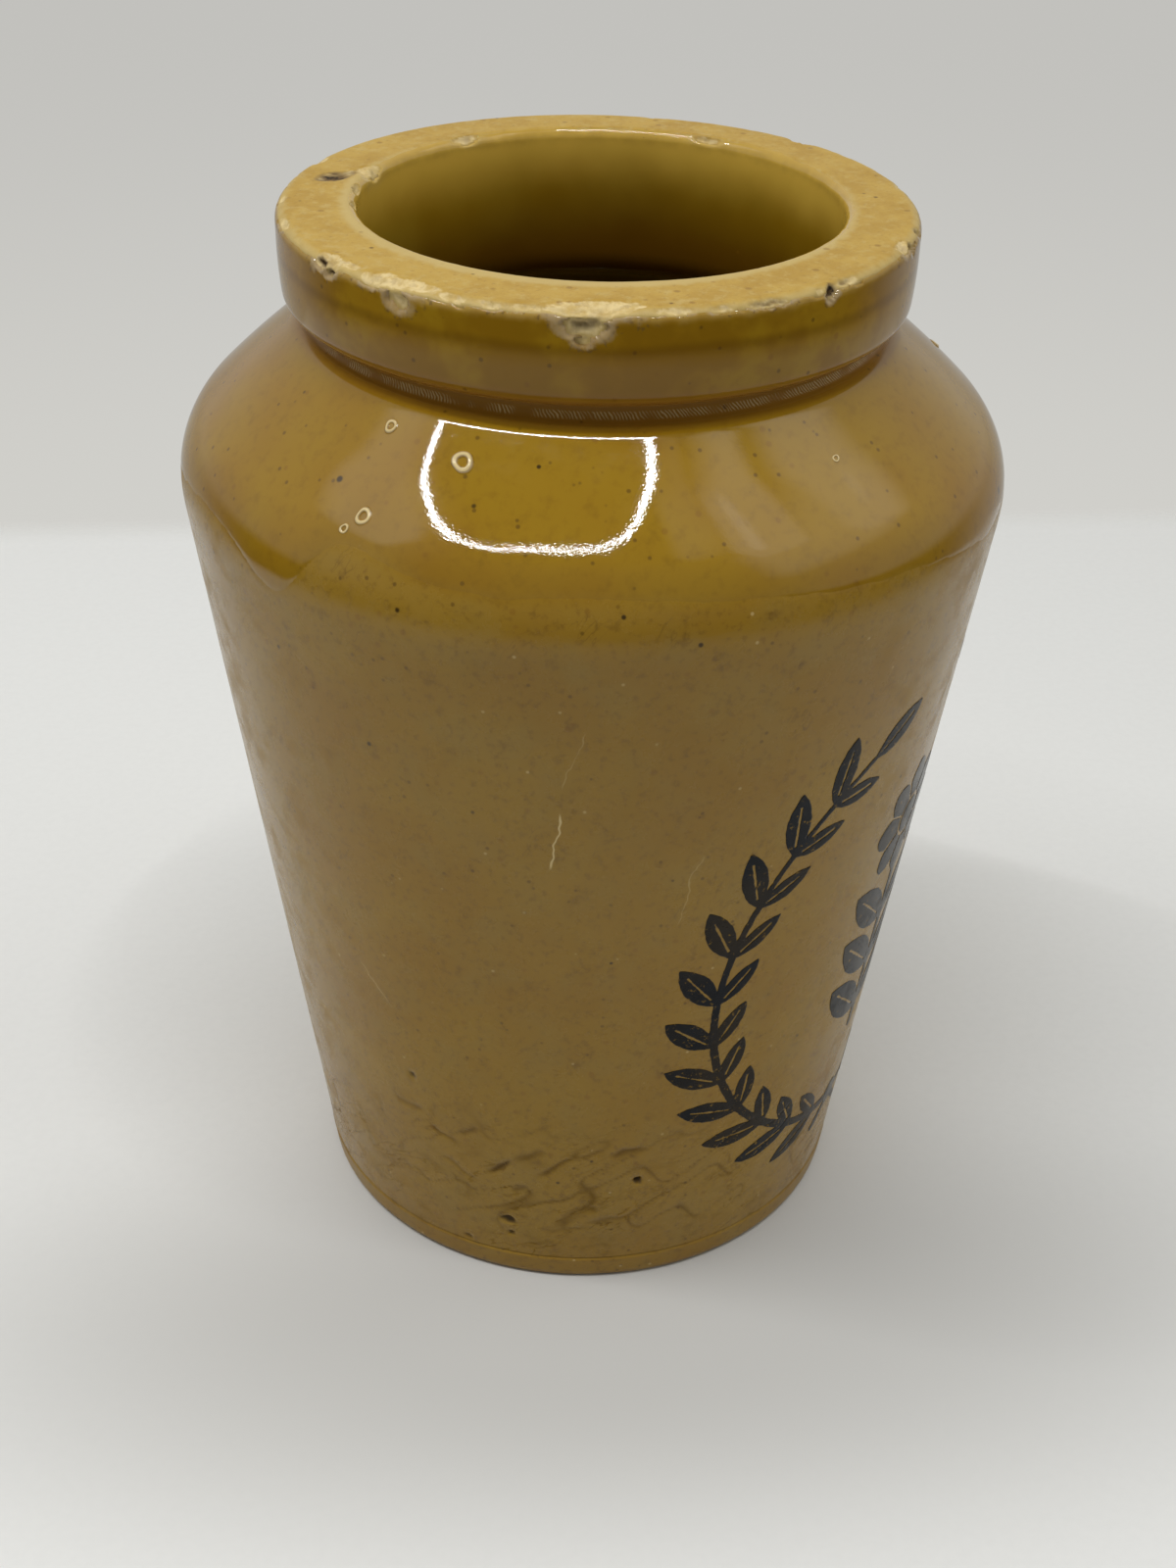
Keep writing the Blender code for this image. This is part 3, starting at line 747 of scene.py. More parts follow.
class Shader(Nodes):
    """Builds one material out of textures that are fixed to places on the pot."""

    SEED_SHIFT = (31.7, 17.3, 11.9)  # how far the next seed's texture lies from a seed's own
    SPOT_CORE = 0.45  # share of a spot's radius inside its soft border
    WALL_RADIUS = 27.0  # about the wall's radius where lines run over it

    def __init__(self, name):
        self.material = bpy.data.materials.new(name)
        self.material.use_nodes = True
        super().__init__(self.material.node_tree)
        self.place = self.vector("SCALE", self.out("Object", "TexCoord"), Scale=1 / MM)
        right, self.back, self.height = self.parts(self.place)
        self.turn = self.maths("ARCTAN2", right, self.back * -1.0)

    def radius(self):
        """The distance from the axis."""
        flat = self.vector("MULTIPLY", self.place, (1.0, 1.0, 0.0))
        return self.vector("LENGTH", flat, output="Value")

    def field(self, name):
        return self.out("Fac", "Attribute", attribute_name=name)

    def moved(self, seed, stretch=(1.0, 1.0, 1.0)):
        """The place, shifted so that each seed's texture differs, and stretched."""
        shifted = self.vector("ADD", self.place, [seed * shift for shift in self.SEED_SHIFT])
        return self.vector("MULTIPLY", shifted, stretch)

    def soft_noise(self, place, size, detail, rough):
        named = {"Scale": 1 / size, "Detail": detail, "Roughness": rough}
        return self.out("Fac", "TexNoise", Vector=place, **named)

    def clouds(self, size, seed, detail=2.0, rough=0.5, stretch=(1.0, 1.0, 1.0)):
        """Soft noise from 0 to 1."""
        return self.soft_noise(self.moved(seed, stretch), size, detail, rough)

    def specks(self, cell, radius, share, seed):
        """1 inside round spots, which sit in a share of the cells, and 0 between them."""
        cells = self.add("TexVoronoi", Vector=self.moved(seed), Scale=1 / cell).outputs
        off = Value(self, cells["Distance"])
        pick = self.out("Red", "SeparateColor", Value(self, cells["Color"]))
        spots = off.ramp(radius / cell, radius * self.SPOT_CORE / cell)
        return spots * self.maths("LESS_THAN", pick, share)

    def lines(self, size, seed, tilt, stretch, width):
        """1 on thin wandering lines that mostly run at a tilt up the wall."""
        around = self.turn * self.WALL_RADIUS
        cosine, sine = math.cos(math.radians(tilt)), math.sin(math.radians(tilt))
        along = around * cosine + self.height * sine
        across = around * -sine + self.height * cosine
        place = self.out(0, "CombineXYZ", along * stretch, across, seed * 7.3)
        return abs(self.soft_noise(place, size, 3.0, 0.6) - 0.5).ramp(width, width * 0.2)

    def dots(self, places):
        """1 inside round spots on the outside, each given by its bearing, height and radius."""
        total = 0.0
        for bearing, height, radius in places:
            middle = tuple(spot(bearing, OUTLINE.run_at(height)))
            off = self.vector("DISTANCE", self.place, middle, output="Value")
            total = self.maths("MAXIMUM", total, off.ramp(radius, radius * self.SPOT_CORE))
        return total

    def scratch(self, bearing, low, high, lean, width):
        """1 on a fine crooked scratch down the wall."""
        middle = (low + high) / 2
        radius = OUTLINE.at(OUTLINE.run_at(middle))[0]
        line = (self.height - middle) * lean + (self.clouds(3.0, 71) - 0.5) * 2.2
        off = (self.turn - math.radians(bearing)) * radius - line
        return abs(off).ramp(width, width * 0.3) * self.height.between(low, high, 0.4)

    def bump(self, height, amplitude, normal=None):
        """A normal for relief of this amplitude, in millimetres, where height goes from 0 to 1."""
        distance = amplitude * MM
        return self.out(0, "Bump", Height=height, Distance=distance, Strength=1.0, Normal=normal)

    def finish(self, colour, roughness, ior, normal, gloss=None, shown=None):
        """The finished material. It is clear where shown is 0."""
        named = {"Base_Color": colour, "Roughness": roughness, "IOR": ior, "Normal": normal}
        surface = self.out(0, "BsdfPrincipled", Specular_IOR_Level=gloss, **named)
        if shown:
            surface = self.out(0, "MixShader", shown, self.out(0, "BsdfTransparent"), surface)
        self.add("OutputMaterial", Surface=surface)
        return self.material


# Colours of the pot
BUFF = linear(149, 116, 36)
BUFF_DEEP = linear(143, 108, 30)
BUFF_GREY = linear(143, 115, 49)
HONEY = linear(151, 117, 20)
HONEY_DEEP = linear(143, 105, 13)
HONEY_THIN = linear(166, 136, 66)
HONEY_BAND = linear(132, 96, 10)
HONEY_POOL = linear(88, 56, 8)
HONEY_GROOVE = linear(158, 112, 42)
CLAY_SKIN = linear(185, 151, 65)
CLAY_TOAST = linear(173, 137, 50)
CLAY_PALE = linear(192, 168, 104)
CLAY_SCAR = linear(218, 196, 142)
CLAY_GREY = linear(172, 150, 112)
DIRT = linear(86, 60, 20)
CHIP_DIRT = linear(96, 74, 44)
PIT_DARK = linear(34, 25, 13)
IRON = linear(84, 58, 16)
IRON_DARK = linear(40, 26, 6)
RUST = linear(122, 82, 20)
FRECKLE = linear(98, 68, 22)
INK = linear(7, 11, 17)
INK_FADED = linear(14, 19, 26)
LINER = linear(180, 148, 44)
LINER_PAINTED_LIGHT = linear(222, 184, 78)
LINER_DEEP = linear(162, 126, 22)
LINER_PAINTED_SHADE = linear(88, 58, 6)
LINER_SHADE_SIDES = (-0.06, 0.126, 0.0)  # across the mouth, to the sides where the shade painted in the neck is lighter


def wall_colour(shader):
    """The buff wall: warm and grey clouds, iron specks and fine freckles."""
    clouds, specks = shader.clouds, shader.specks
    smudge = clouds(3.2, 8, 6, 0.72).ramp(0.55, 0.68) * clouds(1.0, 9, 3, 0.6).ramp(0.40, 0.66)
    return shader.layers(
        BUFF,
        (BUFF_DEEP, clouds(16.0, 1).ramp(0.35, 0.68)),
        (BUFF_GREY, clouds(5.0, 2, 3).ramp(0.42, 0.72) * 0.5),
        (FRECKLE, clouds(0.8, 3, 4, 0.65).ramp(0.52, 0.68) * 0.36),
        (FRECKLE, smudge * 0.5),
        (RUST, specks(2.2, 0.42, 0.34, 4) * 0.42),
        (IRON, specks(1.6, 0.26, 0.30, 5) * 0.62),
        (IRON_DARK, specks(4.6, 0.30, 0.26, 6) * 0.8),
        (CLAY_SCAR, specks(2.1, 0.22, 0.30, 7) * 0.42),
    )


def worn_wall_colour(shader, colour):
    """The wall's colour with the smears and creases near its foot, and how strong these are."""
    clouds = shader.clouds
    low = shader.height.ramp(30.0, 8.0)
    smear = clouds(3.6, 22, 5, 0.68, (1, 1, 1.8)).ramp(0.50, 0.72) * low
    lines = shader.lines(2.3, 27, 32.0, 0.30, 0.015)
    worn = lines * clouds(8.0, 28).ramp(0.42, 0.6) * low
    colour = shader.layers(colour, (DIRT, smear * 0.30), (DIRT, worn * 0.34))
    return colour, worn, shader.maths("MAXIMUM", worn, smear * 0.6)


def honey_colour(shader):
    """The honey glaze: deeper where it is thick, paler at the rim's edges, with iron specks."""
    clouds, specks, height = shader.clouds, shader.specks, shader.height
    band = height.ramp(101.0, 101.8) * clouds(7.5, 38, 3, 0.55).ramp(0.60, 0.44)
    ring = (height + clouds(9.0, 13) * 0.8).within(105.9, 106.9, 106.9, 107.7)
    return shader.layers(
        HONEY,
        (HONEY_DEEP, clouds(13.0, 11).ramp(0.30, 0.75)),
        (HONEY_POOL, clouds(1.1, 12, 3, 0.6).ramp(0.45, 0.8) * 0.22),
        (HONEY_BAND, band * 0.85),
        (HONEY_GROOVE, height.within(98.5, 99.5, 101.4, 103.0) * 0.85),
        (HONEY_POOL, ring * 0.34),
        (HONEY_THIN, (height + clouds(1.6, 14)).ramp(109.0, 110.1) * 0.85),
        (RUST, specks(2.3, 0.40, 0.36, 15) * 0.40),
        (IRON, specks(1.5, 0.27, 0.34, 16) * 0.62),
        (IRON_DARK, specks(4.0, 0.32, 0.30, 17) * 0.8),
        (IRON_DARK, shader.dots(DARK_SPECKS) * 0.9),
    )


def over_dip(shader):
    """The honey colour above that glaze's lower edge, and the wall's colour below it."""
    above, below = honey_colour(shader), wall_colour(shader)
    line = shader.field("above_dip") + shader.clouds(1.3, 18, 3) * 0.9
    pooled = line.within(0.0, 1.6, 1.8, 5.5)
    return shader.layers(below, (above, line.ramp(-0.5, 1.8)), (HONEY_POOL, pooled * 0.16))


def honey_material():
    shader = Shader("honey glaze, glossy")
    clouds, height = shader.clouds, shader.height
    colour = over_dip(shader)
    bruise_and_highlight = shader.field("bruise_and_highlight") + (clouds(0.7, 55, 3, 0.6) - 0.5) * 0.7
    spotted = bruise_and_highlight.ramp(0.12, 0.3) * clouds(0.5, 58).ramp(0.54, 0.66)
    beads = shader.turn * 520.0 + (height * 14.0 + clouds(1.2, 57) * 12.0)
    row = shader.maths("SINE", beads).ramp(-0.2, 0.8) * height.within(99.35, 99.55, 99.95, 100.15)
    dashes = row * clouds(3.0, 19).ramp(0.36, 0.56)
    colour = shader.layers(
        colour,
        (CHIP_DIRT, spotted * 0.6),
        (CLAY_GREY, bruise_and_highlight.ramp(0.35, 1.0, 0.0, 0.85)),
        # pale crests of the popped bubbles: partly the pale thin glaze of a burst rim, partly a
        # painted highlight
        (CLAY_SCAR, bruise_and_highlight.ramp(1.3, 1.9)),
        (CLAY_SCAR, dashes * 0.8),
    )
    normal = shader.bump(clouds(0.22, 20, 1), 0.0024)
    normal = shader.bump(dashes, 0.03, normal)
    in_groove = height.within(98.8, 99.3, 101.1, 101.6)
    roughness = clouds(2.2, 21, 3).ramp(0.35, 0.75, 0.02, 0.045) + in_groove * 0.3
    gloss = in_groove * -0.38 + height.ramp(101.2, 102.2) * -0.22 + 0.5
    return shader.finish(colour, roughness, 1.5, normal, gloss)


def wall_finish(shader):
    """Relief and roughness of the wall's glaze."""
    relief = shader.bump(shader.clouds(0.5, 24, 3), 0.006)
    return relief, shader.clouds(4.0, 26, 5, 0.7).ramp(0.42, 0.7, 0.22, 0.40)


def wall_material():
    shader = Shader("clear glaze over buff clay")
    dirt = shader.field("dirt")
    colour, worn, marks = worn_wall_colour(shader, over_dip(shader))
    lines = shader.lines(1.6, 29, 70.0, 0.25, 0.012)
    hairs = lines * shader.clouds(5.0, 30, 3).ramp(0.52, 0.66)
    colour = shader.layers(
        colour,
        (DIRT, hairs * 0.35),
        *((CLAY_SCAR, shader.scratch(*line) * strength) for *line, strength in SCRATCHES),
        (DIRT, dirt),
        (PIT_DARK, shader.field("pit") * 0.75),
        (IRON_DARK, shader.dots(DARK_SPECKS) * 0.9),
    )
    normal, roughness = wall_finish(shader)
    streaks = shader.clouds(6.0, 25, 6, 0.7, (1.0, 1.0, 4.0)).ramp(0.5, 0.56)
    normal = shader.bump(worn, -0.02, shader.bump(streaks, 0.004, normal))
    gloss = shader.maths("MINIMUM", dirt + marks, 1.0) * -0.42 + 0.5
    return shader.finish(colour, roughness, 1.38, normal, gloss)


def liner_material():
    shader = Shader("inner glaze, glossy")
    clouds, height = shader.clouds, shader.height
    depth = height + clouds(6.0, 37) * 2.0
    across = shader.vector("DOT_PRODUCT", shader.place, LINER_SHADE_SIDES, output="Value")
    # The shade painted in the neck reaches less deep towards the sides across the mouth
    shade_reach = depth + abs(across + 0.5) * 0.9
    in_neck = height.ramp(79.0, 87.0)
    colour = shader.layers(
        LINER,
        (LINER_DEEP, clouds(14.0, 31).ramp(0.30, 0.72)),
        # painted light, lighter towards the mouth
        (LINER_PAINTED_LIGHT, depth.ramp(103.5, 110.5)),
        # painted shade, darker deeper in the neck
        (LINER_PAINTED_SHADE, in_neck * shade_reach.ramp(112.0, 98.5)),
        # near-black painted shade lower in the neck
        (IRON_DARK, in_neck * shade_reach.ramp(99.0, 94.0, 0.0, 0.7)),
        (CLAY_SKIN, (height + clouds(1.4, 32) * 1.2).ramp(108.6, 110.6)),
        (RUST, shader.specks(3.6, 0.34, 0.20, 33) * 0.5),
        (IRON, shader.specks(3.0, 0.22, 0.14, 34) * 0.85),
        (CLAY_PALE, shader.field("bruise_and_highlight") * 0.4),
    )
    roughness = clouds(3.0, 36, 3).ramp(0.35, 0.75, 0.04, 0.10)
    return shader.finish(colour, roughness, 1.5, shader.bump(clouds(0.4, 35), 0.0015))


def clay_material():
    shader = Shader("bare fired stoneware")
    clouds, specks, height = shader.clouds, shader.specks, shader.height
    radius, dirt = shader.radius(), shader.field("dirt")
    ragged = clouds(1.3, 43, 3) * 1.2
    outer = (radius + ragged).ramp(29.5, 30.5)
    inner = (radius - ragged).ramp(24.1, 23.1)
    edges = shader.maths("MAXIMUM", outer, inner) * shader.field("top")
    scar = (shader.field("scar") + clouds(0.5, 46, 3) * 0.4).ramp(0.25, 1.0)
    heel = height.ramp(14.0, 11.0) * height.ramp(0.1, 0.5)
    foot = shader.field("foot") * height.ramp(0.9, 0.3)
    colour = shader.layers(
        CLAY_SKIN,
        (CLAY_TOAST, clouds(4.2, 41, 5, 0.66).ramp(0.38, 0.64)),
        (CLAY_PALE, clouds(1.0, 42, 4, 0.65).ramp(0.48, 0.70) * 0.5),
        (RUST, clouds(0.5, 39, 3, 0.6).ramp(0.56, 0.72) * 0.28),
        (CLAY_PALE, edges * 0.8),
        (RUST, specks(1.8, 0.40, 0.30, 44) * 0.5),
        (IRON, specks(2.0, 0.28, 0.34, 45) * 0.8),
        (CLAY_SCAR, scar * clouds(1.1, 50, 3, 0.6).ramp(0.35, 0.62, 0.35, 1.0)),
        (CLAY_GREY, clouds(0.7, 47, 3).ramp(0.5, 0.7) * scar * 0.45),
        (CHIP_DIRT, dirt),
        (PIT_DARK, dirt.ramp(0.8, 1.0) * clouds(0.6, 56, 3).ramp(0.42, 0.6)),
        (worn_wall_colour(shader, wall_colour(shader))[0], heel),
        (RUST, (height + clouds(2.2, 40, 3) * 0.5).ramp(0.8, 0.3) * 0.35),
        (RUST, foot * clouds(3.0, 48, 4).ramp(0.4, 0.7) * 0.5),
    )
    normal = shader.bump(clouds(0.28, 49, 4, 0.7) * (1.0 - heel), 0.02)
    roughness = (scar - heel).ramp(-0.6, 1.0, 0.36, 0.9)
    return shader.finish(colour, roughness, 1.45, normal, heel * -0.12 + 0.5)


def ink_material():
    shader = Shader("blue-black ink under clear glaze")
    clouds = shader.clouds
    cover = (shader.field("edge") + clouds(0.45, 51, 3, 0.6) * -0.28).ramp(0.02, -0.15)
    holes = clouds(0.7, 52, 4, 0.7).ramp(0.68, 0.60, 0.35, 1.0)
    faded = clouds(9.0, 53).ramp(0.35, 0.6, 0.94, 1.0)
    ink = shader.mix(clouds(1.2, 54, 3).ramp(0.4, 0.7), INK, INK_FADED)
    colour = shader.mix(cover * holes * faded, wall_colour(shader), ink)
    normal, roughness = wall_finish(shader)
    return shader.finish(colour, roughness, 1.3, normal, 0.3)


# ---- The printed mark: a generic leafy wreath round a flowering sprig ----

MARK_Z = (MARK_LOW_Z + MARK_HIGH_Z) / 2
WALL_SLOPE = math.atan2(SHOULDER[0] - FOOT[0], SHOULDER[1])
MARK_HALF_HEIGHT = (MARK_HIGH_Z - MARK_LOW_Z) / 2 / math.cos(WALL_SLOPE)
MARK_HALF_WIDTH = 30.6
STEM_WIDTH = 1.1
STEM_TAPER = 0.45  # share of its width that the wreath's stem loses up to its tip
STEM_PIECES = 90
LEAF_LENGTH = 7.8
LEAF_WIDTH = 2.8
LEAF_ANGLE = math.radians(38)
INNER_LEAF_SHARE = 0.8
LEAF_PAIRS = 11
WREATH_START = math.radians(10)
WREATH_OPENING = math.radians(30)
WREATH_KNOT = 1.6
SPRIG_HEIGHT = 36.0
SPRIG_HALF_WIDTH = 12.0
SPRIG_LEAF_LENGTH = 10.5
SPRIG_LEAF_WIDTH = 4.4
SPRIG_LEAF_PAIRS = 3
FLOWER_RADIUS = 7.0
FLOWER_RING = 2.3
PETALS = 8
PETAL_DEPTH = 2.0
VEIN_WIDTH = 0.24
FILM_CELL = 0.17
FILM_PROUD = 0.03
FILM_DEPTH = 0.12


def away(across_right, upward, start, direction, length, width):
    """Distance outside a pointed leaf, with a vein left open along its middle."""
    right = across_right - start[0]
    up = upward - start[1]
    along = right * direction[0] + up * direction[1]
    across = np.abs(up * direction[0] - right * direction[1])
    bulge = (length**2 / 4 + width**2 / 4) / width
    leaf = np.hypot(along - length / 2, across + bulge - width / 2) - bulge
    vein = np.minimum(along - length * 0.16, length * 0.80 - along)
    return np.maximum(leaf, np.minimum(VEIN_WIDTH / 2 - across, vein))


def stroke(right, up, start, end, width):
    """Distance outside a straight stroke with round ends."""
    step = np.array(end) - np.array(start)
    share = ((right - start[0]) * step[0] + (up - start[1]) * step[1]) / (step @ step)
    share = np.clip(share, 0, 1)
    off = np.hypot(right - start[0] - share * step[0], up - start[1] - share * step[1])
    return off - width / 2


def rotated(direction, angle):
    right, up = direction
    cosine, sine = math.cos(angle), math.sin(angle)
    return right * cosine - up * sine, right * sine + up * cosine


def wreath_shapes(right, up):
    """Distances outside the strokes and leaves of a branch, for places on the unrolled wall."""
    reach = LEAF_LENGTH * math.sin(LEAF_ANGLE) + STEM_WIDTH / 2
    half_width = MARK_HALF_WIDTH - reach
    half_height = MARK_HALF_HEIGHT - reach
    span = math.pi - WREATH_OPENING - WREATH_START

    def stem(angle):
        return half_width * math.sin(angle), -half_height * math.cos(angle)

    places = [stem(angle) for angle in np.linspace(0.02, WREATH_START + span, STEM_PIECES)]
    for number, (start, end) in enumerate(zip(places, places[1:])):
        width = STEM_WIDTH * (1.0 - STEM_TAPER * number / STEM_PIECES)
        yield stroke(right, up, start, end, width)
    for index in range(LEAF_PAIRS + 1):
        angle = WREATH_START + span * index / LEAF_PAIRS
        along = np.array([half_width * math.cos(angle), half_height * math.sin(angle)])
        along /= math.hypot(*along)
        leaves = ((-LEAF_ANGLE, 1.0), (LEAF_ANGLE, INNER_LEAF_SHARE))
        for turn, size in leaves if index < LEAF_PAIRS else ((0.0, 1.0),):
            leaf = (stem(angle), rotated(along, turn), LEAF_LENGTH * size, LEAF_WIDTH * size)
            yield away(right, up, *leaf)
    yield stroke(right, up, (0.0, -half_height), (3.3, -half_height - 3.3), 1.0)
    yield np.hypot(right, up + half_height) - WREATH_KNOT


def sprig_shapes(right, up):
    """Distances outside the parts of half the upright sprig and its flower."""
    bottom = -SPRIG_HEIGHT / 2
    flower_up = SPRIG_HEIGHT / 2 - FLOWER_RADIUS
    stem_length = SPRIG_HEIGHT - FLOWER_RADIUS * 2
    yield stroke(right, up, (0.0, bottom + 0.5), (0.0, flower_up - 4.0), STEM_WIDTH)
    for index in range(SPRIG_LEAF_PAIRS):
        height = bottom + stem_length * (index + 0.5) / (SPRIG_LEAF_PAIRS + 0.5)
        direction = rotated((0.0, 1.0), -LEAF_ANGLE * 1.3)
        yield away(right, up, (0.2, height), direction, SPRIG_LEAF_LENGTH, SPRIG_LEAF_WIDTH)
    radius = np.hypot(right, up - flower_up)
    lobes = np.arctan2(right, up - flower_up) * PETALS / 2
    petal = FLOWER_RADIUS - PETAL_DEPTH * (1 - np.abs(np.cos(lobes)))
    gap = 0.16 - np.abs(np.sin(lobes + math.pi / 2)) * radius / PETALS * 2
    flower = np.maximum((radius - petal) * 0.8, np.minimum(gap, radius - 2.6))
    yield np.maximum(flower, 0.22 - np.abs(radius - FLOWER_RING))


def printed_film(name, shapes, half_width, half_height):
    """A thin film over every place inside one of the shapes and their mirror images."""
    columns = np.arange(-half_width, half_width + FILM_CELL, FILM_CELL)
    rows = np.arange(-half_height, half_height + FILM_CELL, FILM_CELL)
    right, up = np.meshgrid(columns, rows, indexing="ij")
    flat = np.stack([right, up, np.zeros_like(right)], axis=-1)
    field = functools.reduce(np.minimum, shapes(np.abs(right), up))
    field = field + (0.05 * noise(flat, 0.55, 101) + 0.03 * noise(flat, 1.6, 102))
    field = np.where(np.abs(field) < 1e-4, 1e-4, field)
    inside = field < 0
    corner = -np.ones(field.shape, int)
    corner[inside] = np.arange(inside.sum())
    places = list(zip(right[inside], up[inside]))
    depths = list(field[inside])
    crossings = {}

    def crossing(first, second):
        key = (min(first, second), max(first, second))
        if key not in crossings:
            share = np.clip(field[first] / (field[first] - field[second]), 0.04, 0.96)
            x = right[first] + (right[second] - right[first]) * share
            y = up[first] + (up[second] - up[first]) * share
            crossings[key] = len(places)
            places.append((x, y))
            depths.append(0.0)
        return crossings[key]

    faces = []
    for i, j in np.argwhere(inside[:-1, :-1] | inside[1:, :-1] | inside[1:, 1:] | inside[:-1, 1:]):
        ring = [(i, j), (i + 1, j), (i + 1, j + 1), (i, j + 1)]
        filled = [inside[place] for place in ring]
        sides = list(zip(ring[-1:] + ring[:-1], ring, ring[1:] + ring[:1]))
        if filled in ([True, False, True, False], [False, True, False, True]):
            for before, here, following in sides:
                if inside[here]:
                    ends = crossing(here, before), crossing(here, following)
                    faces.append((ends[0], corner[here], ends[1]))
            continue
        face = []
        for _, here, following in sides:
            if inside[here]:
                face.append(corner[here])
            if inside[here] != inside[following]:
                face.append(crossing(here, following))
        faces.append(tuple(face))
    return film_piece(name, np.array(places), np.array(depths), faces)


def film_piece(name, places, depths, faces):
    """The film as a closed solid: its top, its back and the walls between them."""
    height = MARK_Z + places[:, 1] * math.cos(WALL_SLOPE)
    run = OUTLINE.run_at(height)
    bearing = np.degrees(places[:, 0] / OUTLINE.at(run)[0])
    level = wall_level(bearing, run, spot(bearing, run))[0]
    points = [spot(bearing, run, level + depth) for depth in (-FILM_PROUD, FILM_DEPTH)]
    count = len(places)
    edges = {edge: True for face in faces for edge in zip(face, face[1:] + face[:1])}
    walls = [(a, a + count, b + count, b) for a, b in edges if (b, a) not in edges]
    backs = [tuple(corner + count for corner in face[::-1]) for face in faces]
    everything = [tuple(int(corner) for corner in face) for face in [*faces, *backs, *walls]]
    return new_piece(name, np.vstack(points), everything, {"edge": np.tile(depths, 2)})


# ---- The popped bubbles of the honey glaze ----

# Their profile, as distance from the middle and rise, in shares of the radius
BUBBLE_PROFILE = (
    (0.42, -0.03), (0.62, 0.06), (0.78, 0.24), (0.95, 0.30), (1.12, 0.21), (1.34, 0.04),
    (1.7, -0.16),
)
BUBBLE_SIDES = 28
BUBBLE_ABOVE_DIP = 9.0  # they take the glaze's colour from well above its lower edge


def make_bubbles():
    """A small ring of glaze round each popped bubble, closed in the middle and behind."""
    points, faces, bruise_and_highlight = [], [], []
    angle = np.arange(BUBBLE_SIDES) * math.tau / BUBBLE_SIDES
    for number, (bearing, height, radius) in enumerate(BUBBLES):
        run = OUTLINE.run_at(height)
        wobble = 1 + 0.10 * np.sin(angle * 2 + number) + 0.05 * np.sin(angle * 3 + number * 2)
        thick = 1 + 0.35 * np.sin(angle + number * 1.7)
        rows = len(points) + np.arange(len(BUBBLE_PROFILE) * BUBBLE_SIDES).reshape(-1, BUBBLE_SIDES)
        for reach, rise in BUBBLE_PROFILE:
            off = reach * radius * wobble
            runs = run + off * np.cos(angle)
            turned = bearing + np.degrees(off * np.sin(angle) / OUTLINE.at(runs)[0])
            level = honey_level(turned, runs, spot(turned, runs))[0]
            level = level - rise * radius * (thick if rise > 0 else 1.0)
            points += spot(turned, runs, level).tolist()
            # crests get a high value that paints them pale: partly thin glaze, partly a painted
            # highlight
            bruise_and_highlight += [1.9 if rise > 0.2 else 0.3] * BUBBLE_SIDES
        for upper, lower in zip(rows, rows[1:]):
            faces += row_faces(upper, lower)
        faces += fan(len(points), rows[0]) + fan(len(points) + 1, rows[-1][::-1])
        level = honey_level(np.array(bearing), np.array(run), spot(bearing, run))[0]
        points += [spot(bearing, run, level + depth).tolist() for depth in (0.0, 0.3)]
        bruise_and_highlight += [0.0, 0.0]
    fields = {"above_dip": np.full(len(points), BUBBLE_ABOVE_DIP), "bruise_and_highlight": np.array(bruise_and_highlight)}
    return new_piece("popped_bubbles", np.array(points), faces, fields)


# ---- Stage, light and camera ----

# The camera, found by fitting the pot's outline to the photograph
CAMERA_PLACE = (0.0, -201.58, 171.96)  # on the -Y side, before the turn to the seen side
CAMERA_PITCH = 0.5611
CAMERA_YAW = 0.0012
CAMERA_ROLL = 0.0227
CAMERA_LENS = 49.93
SENSOR = 36.0
TURN = Matrix.Rotation(math.radians(SEEN_BEARING), 4, "Z")


def show(name, data, matrix):
    """An object in the scene, placed in the frame of the photograph."""
    thing = bpy.data.objects.new(name, data)
    thing.matrix_world = TURN @ matrix
    bpy.context.scene.collection.objects.link(thing)
    return thing


def make_camera():
    data = bpy.data.cameras.new("camera")
    data.lens = CAMERA_LENS
    data.sensor_width = SENSOR
    data.clip_start = 0.01
    data.clip_end = 20.0
    tip = Matrix.Rotation(math.pi / 2 - CAMERA_PITCH, 4, "X")
    yaw = Matrix.Rotation(-CAMERA_YAW, 4, "Z")
    roll = Matrix.Rotation(CAMERA_ROLL, 4, "Z")
    place = Matrix.Translation(Vector(CAMERA_PLACE) * MM)
    bpy.context.scene.camera = show("camera", data, place @ yaw @ tip @ roll)


FLOOR_BEHIND = 167.0  # from the pot's axis to the far edge of the pale sheet that it stands on
FLOOR_FRONT = 330.0
FLOOR_SIDES = 300.0
FLOOR_FADE = 12.0  # the far edge rolls out of sight over this length
FLOOR_FRONT_FADE = 80.0
FLOOR_TURN = 4.6  # the sheet lies slightly askew
FLOOR_DROP = 0.02  # the sheet lies this much below the pot, so that they don't share a plane
FLOOR_COLOUR = linear(233, 234, 233)
FLOOR_FIBRE = linear(231, 232, 231)
FLOOR_PAINTED_SHADOW = linear(195, 195, 193)  # a soft shadow painted on the sheet in front of the pot
FLOOR_SHADOW_PLACE = (2.0, -36.0, 0.0)
FLOOR_SHADOW_SIZE = (110.0, 42.0)


